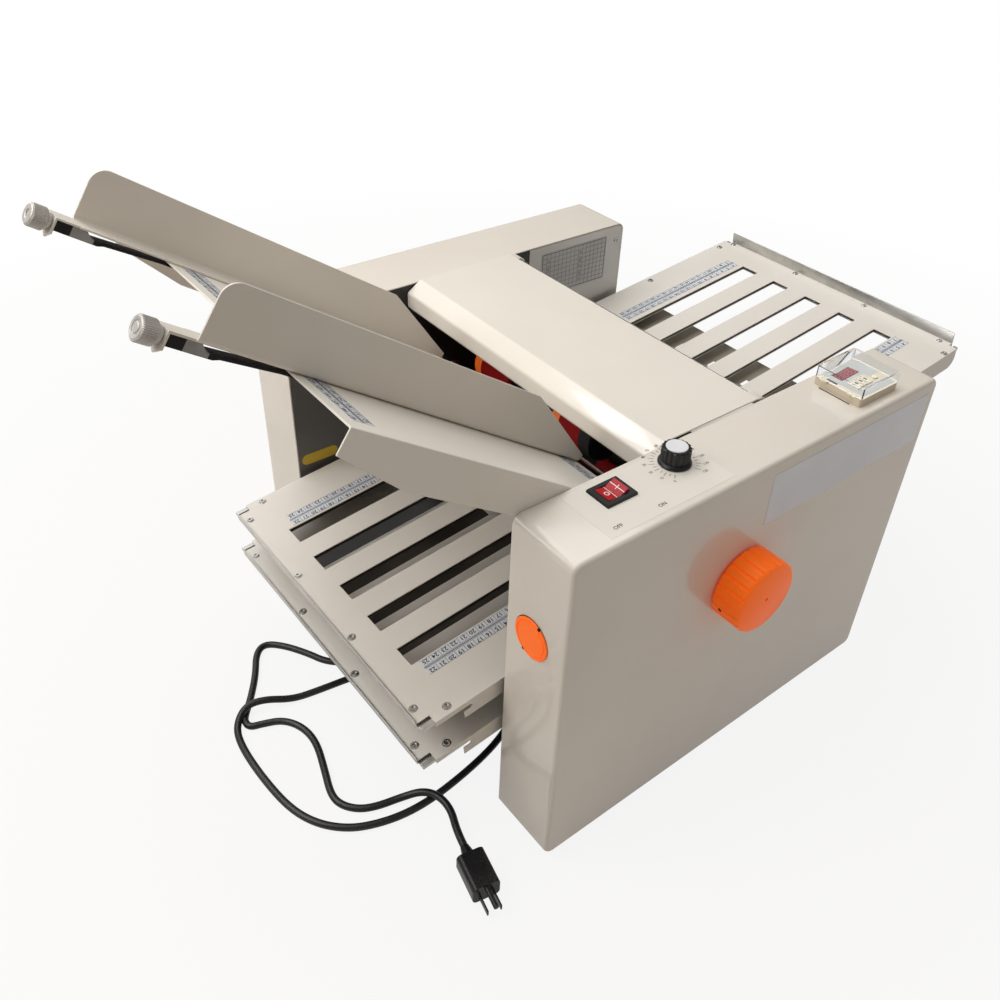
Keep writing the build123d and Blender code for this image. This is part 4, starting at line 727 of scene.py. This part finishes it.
# %% Fluted handwheel
WHEEL_RADIUS = 35.0
WHEEL_DEPTH = 26.0
WHEEL_BACK = (198.5, -2.5, 231.5)
WHEEL_STEPS = ((1.4, 34.3), (0.9, 33.2), (0.7, 31.6))
FLUTES = 22
FLUTE_POINTS = 8
FLUTE_FLOOR, FLUTE_SIDE = 0.955, 0.993
HOLE_RADIUS, HOLE_DEPTH = 1.8, 1.8
SET_SCREW_HOLE_SHADE = [(0, 0), (1.9, 0), (1.9, 1.8), (0, 1.8)]
SET_SCREW_PLACE = spun(195) @ moved(33.3, 0, 8.5) @ spun(90, "Y")


def raise_face(mesh, face, rise, keep=False):
    """Extrude a face along Z by a length in millimetres, and return the new end face."""
    made = bmesh.ops.extrude_face_region(mesh, geom=[face])["geom"]
    bmesh.ops.translate(mesh, verts=corners(made), vec=(0, 0, rise))
    if not keep and face.is_valid:
        bmesh.ops.delete(mesh, geom=[face], context="FACES_ONLY")
    return faces(made)[0]


mesh = bmesh.new()
rim = bmesh.ops.create_circle(mesh, cap_ends=True, radius=WHEEL_RADIUS,
                              segments=FLUTES * FLUTE_POINTS)["verts"]
back = rim[0].link_faces[0]
for number, vert in enumerate(rim):
    step = number % FLUTE_POINTS
    vert.co *= FLUTE_FLOOR if step == 0 else FLUTE_SIDE if step in (1, FLUTE_POINTS - 1) else 1.0
face = raise_face(mesh, back, WHEEL_DEPTH, keep=True)
for rise, reach in WHEEL_STEPS:
    face = raise_face(mesh, face, rise)
    for vert in face.verts:
        flat = vert.co.xy
        vert.co.xy = flat * min(1.0, reach / flat.length)
# The hole's floor is black, which is painted shade in the hole. The black disc on the rim is painted
# shade of the set-screw hole.
bmesh.ops.inset_individual(mesh, faces=[face], thickness=WHEEL_STEPS[-1][1] - HOLE_RADIUS)
face = raise_face(mesh, face, -HOLE_DEPTH)
face.material_index = 1
part = bmesh.new()
turned(part, SET_SCREW_HOLE_SHADE, 20)
bmesh.ops.transform(part, matrix=SET_SCREW_PLACE, verts=part.verts)
join(mesh, part, 1)
place(mesh, FLAT @ moved(*WHEEL_BACK) @ UPRIGHT)
show(mesh, "fluted_handwheel", (orange_plastic, black_rubber), BODY_OF["handwheel"],
     ("handwheel",), smooth=24)
print("handwheel", 2 * WHEEL_RADIUS, "mm across")

# %% [markdown]
# ## Cap and feed tyres
# A round orange cap closes the end of the near box, and two red tyres with orange hubs pull in the
# sheets. Both are turnings, so a profile spun round an axis gives every lip and rounded edge at
# once. Cylinders with a modifier each would need more pieces.

# %% Cap in the end of the near box
CAP_PLACE = (0.0, 39.1, 247.7)
CAP_PROFILE = [(0, 0.25), (19.2, 0.25), (19.3, 1.0), (18.9, 1.5), (16.7, 1.6), (16.3, 0.9),
               (15.8, 0.9), (15.4, 1.6), (0, 1.7)]
# A thin black ring set off to one side under the rim is a painted shadow round the cap, and the black
# blocks are painted shade in its two notches.
CAP_PAINTED_SHADOW = [(17.0, 0.12), (19.5, 0.12), (19.5, 0.3), (17.0, 0.3), (17.0, 0.12)]
NOTCH_SIZE = (1.9, 2.6, 1.5)
NOTCH_REACH = 18.5
NOTCH_TURNS = (-64.0, 117.0)

mesh = bmesh.new()
turned(mesh, CAP_PROFILE, 72)
part = bmesh.new()
turned(part, CAP_PAINTED_SHADOW, 72)
bmesh.ops.translate(part, verts=part.verts, vec=(0.3, 0.4, 0))
for turn in NOTCH_TURNS:
    angle = math.radians(turn)
    across, along = NOTCH_REACH * math.sin(angle), NOTCH_REACH * math.cos(angle)
    notch_place = moved(across, along, 0.9) @ spun(90 - turn) @ Matrix.Diagonal((*NOTCH_SIZE, 1))
    bmesh.ops.create_cube(part, size=1.0, matrix=notch_place)
join(mesh, part, 1)
place(mesh, FLAT @ moved(*CAP_PLACE) @ spun(-90, "Y"))
show(mesh, "end_cap", (orange_plastic, black_rubber), BODY_OF["access_cap"],
     ("access_cap",), smooth=28)
print("cap made")

# %% Feed roller's tyres and hubs
TYRE_LENGTH = 44.0
HUB_LENGTH = 11.0
TYRE_PROFILE = [(6.1, 0), (20.0, 0), (20.4, 0.0), (23.6, 0.2), (24.7, 0.9), (25.0, 2.4), (25.0, 15.0),
                (25.0, 41.8), (24.7, 43.2), (24.0, 44.0), (23.8, 44.0), (23.8, 54.4), (23.2, 55.0),
                (6.1, 55.0), (6.1, 0)]
HUB_START = 43.9
# The near end of each tyre is painted black as painted shade: the first 14 mm of the near tyre, and
# only the end face of the far one.
NEAR_SHADE_END, FAR_SHADE_END = 14.0, 0.05

tyre_low, tyre_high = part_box("feed_tyres")
tyre_middle = (tyre_low + tyre_high) / 2
far_start = tyre_high.y - (TYRE_LENGTH + HUB_LENGTH) * MM
mesh = bmesh.new()
for start, shade_end in ((tyre_low.y, NEAR_SHADE_END), (far_start, FAR_SHADE_END)):
    part = bmesh.new()
    turned(part, TYRE_PROFILE, 72)
    for face in part.faces:
        height = face.calc_center_median().z
        face.material_index = 1 if height > HUB_START else 2 if height < shade_end else 0
    spot = Matrix.Translation((tyre_middle.x, start, tyre_middle.z)) @ spun(-90, "X")
    place(part, spot @ Matrix.Scale(MM, 4))
    join(mesh, part)
show(mesh, "feed_roller_tyres", (tyre_rubber, tyre_hub, black_rubber), BODY_OF["feed_tyres"],
     ("feed_tyres",), smooth=30)
print("tyres made")

# %% [markdown]
# ## Speed knob
# The speed knob is a black ribbed grip on a wide skirt, with a bright disc pressed into its top.
# The disc could be a second material of the grip, but as a piece of its own it keeps a clean edge.

# %% Speed knob
SPEED_PLACE = (146.0, 48.2, BOX_TOP)
SPEED = FLAT @ moved(*SPEED_PLACE)
SKIRT = [(0, 0.4), (13.4, 0.4), (13.8, 0.8), (13.8, 1.6), (13.0, 2.8), (11.6, 3.6), (0, 3.6)]
CAP_DISC = [(0, 15.0), (9.0, 15.0), (9.0, 16.0), (8.6, 16.4), (0, 16.4)]

mesh = bmesh.new()
turned(mesh, SKIRT, 64)
ridged(mesh, 11.3, 12.2, ridges=18, ridge=0.9, chamfer=0.9, low=3.2)
place(mesh, SPEED)
show(mesh, "speed_knob_grip", black_plastic, "speed_knob", ("speed_knob",), 28)
mesh = bmesh.new()
turned(mesh, CAP_DISC)
place(mesh, SPEED)
knob_cap = finish("knob_cap", (0.66, 0.66, 0.68), (0.72, 0.72, 0.74), 0.28, peel=0.1,
                  drift_scale=60.0)
show(mesh, "speed_knob_cap", knob_cap, "speed_knob", smooth=28)
print("speed knob made")

# %% [markdown]
# ## Screws
# Small screws hold the plates together. Each is a low turned dome on a thin washer, with a round
# recess in the middle. They are too small for nodes of their own, so one mesh holds all the screws
# of one plate.

# %% Screws on the plates and the boxes
LEFT_SCREWS = [(6.0, 149.2), (6.0, 48.5), (6.0, -50.1), (6.0, -149.1), (28.5, 166.3),
               (28.5, -165.0)]
RIGHT_SCREWS = [(4.6, -157.5), (4.6, -54.5), (4.6, 48.5), (4.6, 150.5), (23.0, 168.5),
                (23.0, -165.0), (148.0, -165.0)]
SCREW_RISE = 1.3
screw_steel = finish("screw_steel", (0.50, 0.50, 0.49), (0.60, 0.60, 0.59), 0.25, metal=0.95,
                     drift_scale=200.0)


def screws(name, matrix, places, radius=3.2):
    """Group of screws, given along and across a sheet in millimetres."""
    mesh = bmesh.new()
    for along, across in places:
        head = bmesh.new()
        turned(head, [(radius + 0.9, 0.02), (radius + 0.7, 0.22), (radius, 0.25),
                      (radius * 0.96, SCREW_RISE * 0.6), (radius * 0.8, SCREW_RISE),
                      (radius * 0.52, SCREW_RISE)], 28)
        rim = [e for e in head.edges if e.is_boundary and abs(e.verts[0].co.z - SCREW_RISE) < 0.01]
        made = bmesh.ops.extrude_edge_only(head, edges=rim)["geom"]
        bmesh.ops.translate(head, verts=corners(made), vec=(0, 0, -SCREW_RISE * 0.8))
        floor_edges = [g for g in made if isinstance(g, bmesh.types.BMEdge)]
        bmesh.ops.contextual_create(head, geom=floor_edges)
        bmesh.ops.translate(head, verts=head.verts, vec=(along, across, 0))
        join(mesh, head)
    place(mesh, matrix)
    show(mesh, name, screw_steel, "frame", smooth=30)


screws("upper_left_screws", UPPER_LEFT, LEFT_SCREWS)
screws("lower_left_screws", LOWER_LEFT, LEFT_SCREWS)
screws("right_screws", RIGHT, RIGHT_SCREWS, 2.8)
screws("far_panel_screw", FLAT @ moved(436, FAR_WALL, 329) @ UPRIGHT, [(0, 0)])
print("screws made", 2 * len(LEFT_SCREWS) + len(RIGHT_SCREWS) + 1)

# %% [markdown]
# ## Printed film, tapes and marks
# Tapes and decals are films a fifth of a millimetre thick, with their ink on top. A picture could
# carry the print, but real faces stay sharp at any distance, so the ink is low boxes with a second
# material, set out by a loop. The numbers are text turned into a mesh before it is placed.

# %% Helpers for print
INK = 0.06
FILM = 0.18
GAP = 0.02


def bar(mesh, low, high, index=0):
    """Add a box between two corners, in millimetres, with one of the piece's materials."""
    low, high = Vector(low), Vector(high)
    middle = Matrix.Translation((low + high) / 2) @ Matrix.Diagonal((*(high - low), 1))
    made = bmesh.ops.create_cube(mesh, size=1.0, matrix=middle)["verts"]
    for face in {f for v in made for f in v.link_faces}:
        face.material_index = index


def print_on(name, bars, matrix, material, body="frame"):
    """A piece made of boxes: two corners in millimetres and, where it isn't the first, a material."""
    mesh = bmesh.new()
    for one in bars:
        bar(mesh, *one)
    place(mesh, matrix)
    show(mesh, name, material, body)


def ring(mesh, middle, outer, inner, low, high):
    """Add a flat ring or, with no inner radius, a disc, in millimetres."""
    part = bmesh.new()
    profile = [(inner, low), (outer, low), (outer, high), (inner, high)]
    turned(part, profile + profile[:1] if inner else profile)
    bmesh.ops.translate(part, verts=part.verts, vec=(*middle, 0))
    join(mesh, part)


print("bar and ring helpers ready")


# %% Helper for flat text, and the tapes' finishes
def words(mesh, text, size, middle, height, turn=0.0, bold=0.0):
    """Add flat text in ink, in millimetres, centred on a place and turned in its sheet."""
    curve = bpy.data.curves.new("words", "FONT")
    curve.body = text
    curve.size = size
    curve.align_x = "CENTER"
    curve.align_y = "CENTER"
    curve.resolution_u = 2
    curve.offset = bold
    holder = bpy.data.objects.new("words", curve)
    data = bpy.data.meshes.new_from_object(holder)
    part = bmesh.new()
    part.from_mesh(data)
    bmesh.ops.transform(part, matrix=moved(*middle, height) @ spun(turn), verts=part.verts)
    join(mesh, part, 1)
    bpy.data.objects.remove(holder)
    bpy.data.curves.remove(curve)
    bpy.data.meshes.remove(data)


tape_white = finish("tape_white", (0.66, 0.68, 0.70), (0.72, 0.74, 0.76), 0.3, drift_scale=30.0,
                    coat=0.3)
tape_ink = finish("tape_ink", (0.014, 0.020, 0.060), (0.022, 0.028, 0.080), 0.35, drift_scale=90.0)
print("print helpers ready")

# %% Scale tapes
TAPE_HALF = 8.8
MIDDLE_INK, EDGE_INK, TICK_INK = 0.22, 0.12, 0.17
EDGE_INSET = 0.25
LONG_TICK, HALF_TICK, SHORT_TICK = TAPE_HALF - 0.3, 2.6, 1.9
LAST_NUMBER_GAP = 4
NUMBER_ROW = 5.7
NUMBER_SIZE = 6.3
NUMBER_BOLD = 0.14
NUMBER_TURN = 180.0
LEFT_TAPE, RIGHT_TAPE, TABLE_TAPE = 190.0, 192.0, 330.0


def tape(name, matrix, length, upper=25, lower=22, step=-1):
    """Centimetre tape along a sheet: ticks out from a middle line, and two rows of numbers."""
    mesh = bmesh.new()
    base, top = FILM - INK, FILM + INK
    bar(mesh, (0, -TAPE_HALF, GAP), (length, TAPE_HALF, FILM))
    bar(mesh, (0, -MIDDLE_INK, base), (length, MIDDLE_INK, top), 1)
    for edge in (EDGE_INSET - TAPE_HALF, TAPE_HALF - EDGE_INSET):
        bar(mesh, (0, edge - EDGE_INK, base), (length, edge + EDGE_INK, top), 1)
    for count in range(1, int(length)):
        reach = LONG_TICK if count % 10 == 0 else HALF_TICK if count % 5 == 0 else SHORT_TICK
        bar(mesh, (count - TICK_INK, -reach, base), (count + TICK_INK, reach, top), 1)
        if count % 10 == 5 and count < length - LAST_NUMBER_GAP:
            for first, row in ((upper, NUMBER_ROW), (lower, -NUMBER_ROW)):
                number = str(first + step * (count // 10))
                words(mesh, number, NUMBER_SIZE, (count, row), top, NUMBER_TURN, NUMBER_BOLD)
    place(mesh, matrix)
    show(mesh, name, (tape_white, tape_ink), "frame")


for name, sheet in (("upper_left", UPPER_LEFT), ("lower_left", LOWER_LEFT)):
    tape(f"{name}_far_tape", sheet @ moved(36.0, 121.5, 0), LEFT_TAPE)
    tape(f"{name}_near_tape", sheet @ moved(36.0, -121.0, 0), LEFT_TAPE)
tape("right_far_tape", RIGHT @ moved(232.0, -125.5, 0) @ spun(180), RIGHT_TAPE)
tape("right_near_tape", RIGHT @ moved(225.0, 122.0, 0) @ spun(180), RIGHT_TAPE)
for name, along in (("table_front_tape", 19.0), ("table_rear_tape", 292.0)):
    tape(name, TABLE @ moved(along, 165.0, 0) @ spun(-90), TABLE_TAPE, 0, 15, 1)
print("tapes made")

# %% Decal on the switch panel
DIAL_FIRST = 225.5
DIAL_STEP = 24.0
DIAL_NUMBERS = 13
TICK_START, LONG_DIAL_TICK, SHORT_DIAL_TICK = 16.6, 21.5, 19.6
DIAL_TEXT_REACH = 25.2
PANEL_INK = 0.2
panel_film = finish("panel_film", (0.745, 0.695, 0.62), (0.765, 0.715, 0.64), 0.16, coat=0.5)
black_ink_and_painted_shadow = finish("black_ink_and_painted_shadow", (0.03, 0.03, 0.032), (0.05, 0.05, 0.052), 0.4, drift_scale=90.0)

mesh = bmesh.new()
bar(mesh, (41.8, 8.0, GAP), (172.5, 66.0, 0.14))
for number in range(2 * DIAL_NUMBERS - 1):
    is_long = number % 2 == 0
    reach = LONG_DIAL_TICK if is_long else SHORT_DIAL_TICK
    turn = DIAL_FIRST - number * DIAL_STEP / 2
    part = bmesh.new()
    bar(part, (TICK_START, -0.22, 0.10), (reach, 0.22, PANEL_INK))
    bmesh.ops.transform(part, matrix=moved(*SPEED_PLACE[:2], 0) @ spun(turn), verts=part.verts)
    join(mesh, part, 1)
    if is_long:
        across = SPEED_PLACE[0] + DIAL_TEXT_REACH * math.cos(math.radians(turn))
        along = SPEED_PLACE[1] + DIAL_TEXT_REACH * math.sin(math.radians(turn))
        words(mesh, str(number * 5), 3.6, (across, along), PANEL_INK, bold=0.05)
words(mesh, "OFF", 5.0, (55.0, 15.6), PANEL_INK, bold=0.08)
words(mesh, "ON", 5.0, (100.0, 15.3), PANEL_INK, bold=0.08)
place(mesh, FLAT @ moved(0, 0, BOX_TOP))
show(mesh, "panel_decal", (panel_film, black_ink_and_painted_shadow), "frame")
print("panel decal made")

# %% Pointer line on the speed knob
POINTER_TURN = 96.9
white_mark = finish("white_mark", (0.82, 0.82, 0.80), (0.88, 0.88, 0.86), 0.4, drift_scale=60.0)
print_on("speed_knob_line", [
    ((9.3, -0.35, 14.3), (11.0, 0.35, 14.75)),
    ((10.7, -0.35, 5.0), (11.35, 0.35, 14.2)),
], SPEED @ spun(POINTER_TURN), white_mark, "speed_knob")
print("pointer at", POINTER_TURN)

# %% Marks on the rocker
ROCKER_PLACE = (78.0, 47.6, 348.0)
ROCKER_LEAN = -9.0
ROCKER_FACE = 16.86
MARK_REACH = 4.95
MARK_TOP = 0.10

off_mark = bmesh.new()
ring(off_mark, (0, 0), 2.3, 1.6, 0.0, MARK_TOP)
bar(off_mark, (3.6, -8.0, 0.0), (4.2, 8.0, MARK_TOP))
on_mark = bmesh.new()
bar(on_mark, (0.3, -8.0, 0.0), (0.9, 8.0, MARK_TOP))
bar(on_mark, (-1.6, -0.3, 0.0), (2.8, 0.3, MARK_TOP))
mesh = bmesh.new()
for mark, side in ((off_mark, -1), (on_mark, 1)):
    on_face = moved(side * MARK_REACH, 0, 4.0) @ spun(-side * ROCKER_FACE, "Y")
    bmesh.ops.transform(mark, matrix=on_face, verts=mark.verts)
    join(mesh, mark)
place(mesh, FLAT @ moved(*ROCKER_PLACE) @ spun(ROCKER_LEAN, "Y"))
show(mesh, "rocker_marks", white_mark, "rocker")
print("rocker marks made")

# %% Bare label plates
silver_film = finish("silver_film", (0.64, 0.66, 0.70), (0.70, 0.72, 0.76), 0.30, peel=0.1,
                     drift_scale=14.0, metal=0.2)
yellow_film = finish("yellow_film", (0.66, 0.44, 0.02), (0.72, 0.49, 0.03), 0.3, drift_scale=25.0)
print_on("front_label_plate", [((216.0, 283.5, GAP), (436.0, 335.5, 0.22))], FLAT @ UPRIGHT,
         silver_film)

OVAL_LENGTH, OVAL_HEIGHT = 42.0, 12.5
straight, end_radius = (OVAL_LENGTH - OVAL_HEIGHT) / 2, OVAL_HEIGHT / 2
mesh = bmesh.new()
bar(mesh, (-straight, -end_radius, GAP), (straight, end_radius, 0.2))
for end in (-straight, straight):
    ring(mesh, (end, 0), end_radius, 0, GAP, 0.19)
place(mesh, FLAT @ moved(26.0, FAR_WALL, 181.3) @ UPRIGHT)
show(mesh, "yellow_tray_label", yellow_film, "frame")
print("labels made")

# %% Ruled table on the far inner wall
CHART_PLACE = (320.5, FAR_WALL, 284.0)
CHART_WIDTH, CHART_HEIGHT = 100.0, 54.0
CHART_MARGIN = 2.0
ROWS, COLUMNS = 9, 16
THICK_RULE, THIN_RULE = 0.35, 0.16
RULE_LOW, RULE_TOP = 0.1, 0.2
FOLD_COLUMNS = (1, 9)
row_height = (CHART_HEIGHT - 2 * CHART_MARGIN) / ROWS
column_width = (CHART_WIDTH - 2 * CHART_MARGIN) / COLUMNS
label_grey = finish("label_grey", (0.46, 0.46, 0.46), (0.52, 0.52, 0.52), 0.35, drift_scale=20.0)

rules = [((0, 0, GAP), (CHART_WIDTH, CHART_HEIGHT, 0.16))]
for row in range(ROWS + 1):
    high = CHART_MARGIN + row * row_height
    half = THICK_RULE if row in (0, ROWS) else THIN_RULE
    rules.append(((CHART_MARGIN, high - half, RULE_LOW),
                  (CHART_WIDTH - CHART_MARGIN, high + half, RULE_TOP), 1))
for column in range(COLUMNS + 1):
    left = CHART_MARGIN + column * column_width
    half = THICK_RULE if column in (0, COLUMNS) else THIN_RULE
    rules.append(((left - half, CHART_MARGIN, RULE_LOW),
                  (left + half, CHART_HEIGHT - CHART_MARGIN, RULE_TOP), 1))
for row in range(1, ROWS - 1):
    for column in FOLD_COLUMNS:
        left = CHART_MARGIN + column * column_width
        high = CHART_MARGIN + (row + 0.5) * row_height
        for fold in range(1 + row % 3):
            lift = high + 1.2 * fold
            rules.append(((left + 1.2, lift - 1.4, RULE_LOW), (left + 4.6, lift - 0.9, RULE_TOP), 1))
print_on("fold_table_label", rules, FLAT @ moved(*CHART_PLACE) @ UPRIGHT, (label_grey, black_ink_and_painted_shadow))
print("ruled table", len(rules), "bars")

# %% [markdown]
# ## Counter
# The counter's face is a grey plate round a dark red window and four cream keys. The window holds
# four figures of seven dim lines each. Text would give rounder shapes, so the lines are low bars,
# set out by one table of their corners.

# %% Counter face and window
COUNTER = FLAT @ moved(0, 0, 357.0)
FACE_TOP = 0.14
window_red = finish("window_red", (0.13, 0.010, 0.016), (0.17, 0.014, 0.022), 0.12,
                    drift_scale=60.0, coat=0.5)
face_grey = finish("face_grey", (0.40, 0.40, 0.385), (0.45, 0.45, 0.43), 0.4, peel=0.1)
dim_red = finish("dim_red", (0.42, 0.06, 0.07), (0.50, 0.08, 0.09), 0.3)

print_on("counter_face", [
    ((344.6, 14.5, 0.0), (351.0, 59.5, FACE_TOP)),
    ((351.0, 54.0, 0.0), (390.0, 59.5, FACE_TOP)),
    ((375.6, 37.6, 0.0), (390.0, 54.0, FACE_TOP)),
    ((375.6, 31.6, 0.0), (390.0, 37.6, FACE_TOP)),
    ((351.0, 37.6, 0.0), (375.6, 41.2, FACE_TOP)),
    ((351.0, 14.5, 0.0), (390.0, 22.4, FACE_TOP)),
    ((341.4, 40.4, 0.0), (343.9, 51.4, FACE_TOP), 1),
], COUNTER, (face_grey, black_ink_and_painted_shadow), "frame")
print_on("counter_window", [((351.3, 41.5, -0.95), (375.1, 53.7, -0.25))], COUNTER, window_red,
         "frame")
print("counter face made")

# %% Figures in the window
DIGITS = 4
DIGIT_LEFT, DIGIT_LOW, DIGIT_PITCH = 353.6, 43.6, 5.4
DIGIT_BASE, DIGIT_TOP = -0.24, -0.20
STROKES = ((0.4, 7.7, 3.0, 8.3), (3.1, 4.3, 3.7, 7.7), (3.1, 0.3, 3.7, 3.7), (0.4, -0.3, 3.0, 0.3),
           (-0.3, 0.3, 0.3, 3.7), (-0.3, 4.3, 0.3, 7.7), (0.4, 3.7, 3.0, 4.3))

strokes = []
for digit in range(DIGITS):
    left = DIGIT_LEFT + digit * DIGIT_PITCH
    for near, low, far, high in STROKES:
        strokes.append(((left + near, DIGIT_LOW + low, DIGIT_BASE),
                        (left + far, DIGIT_LOW + high, DIGIT_TOP)))
print_on("counter_digits", strokes, COUNTER, dim_red, "frame")
print("figures", DIGITS)

# %% Marks on the keys, and the painted shadow in the gap beside the counter
MARK_RISE = 0.05
for node in PRESET_KEYS:
    low, high = (1000 * (corner - CORNER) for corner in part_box(node))
    x, y = (low.x + high.x) / 2, (low.y + high.y) / 2
    base, top = high.z, high.z + MARK_RISE
    print_on(f"{node.removeprefix('counter_')}_marks", [
        ((x - 1.0, y - 1.9, base), (x + 1.0, y + 1.9, top)),
        ((x - 0.9, y - 4.82, base), (x + 0.9, y - 4.38, top)),
        ((x - 0.9, y + 4.38, base), (x + 0.9, y + 4.82, top)),
        ((x - 0.22, y + 3.7, base), (x + 0.22, y + 5.5, top)),
    ], FLAT, black_ink_and_painted_shadow, BODY_OF[node])
# A thin black sheet beside the counter is a painted shadow in the gap.
print_on("counter_shadow_gap", [((335.3, 20.5, BOX_TOP), (335.5, 53.5, 349.9))], FLAT, black_ink_and_painted_shadow,
         "frame")
print("counter made")

# %% [markdown]
# ## Plug and lead finish
# The moulded plug keeps its model shape, prongs included, with softer edges. The lead is black
# rubber.

# %% Plug and the lead's finish
plug_low, plug_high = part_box("power_plug")
plug_piece = soften("power_plug", black_plastic, 0.6, 3)
lead_curve.materials.append(cord_rubber)
print("plug box", [round(v, 3) for v in (*plug_low, *plug_high)])
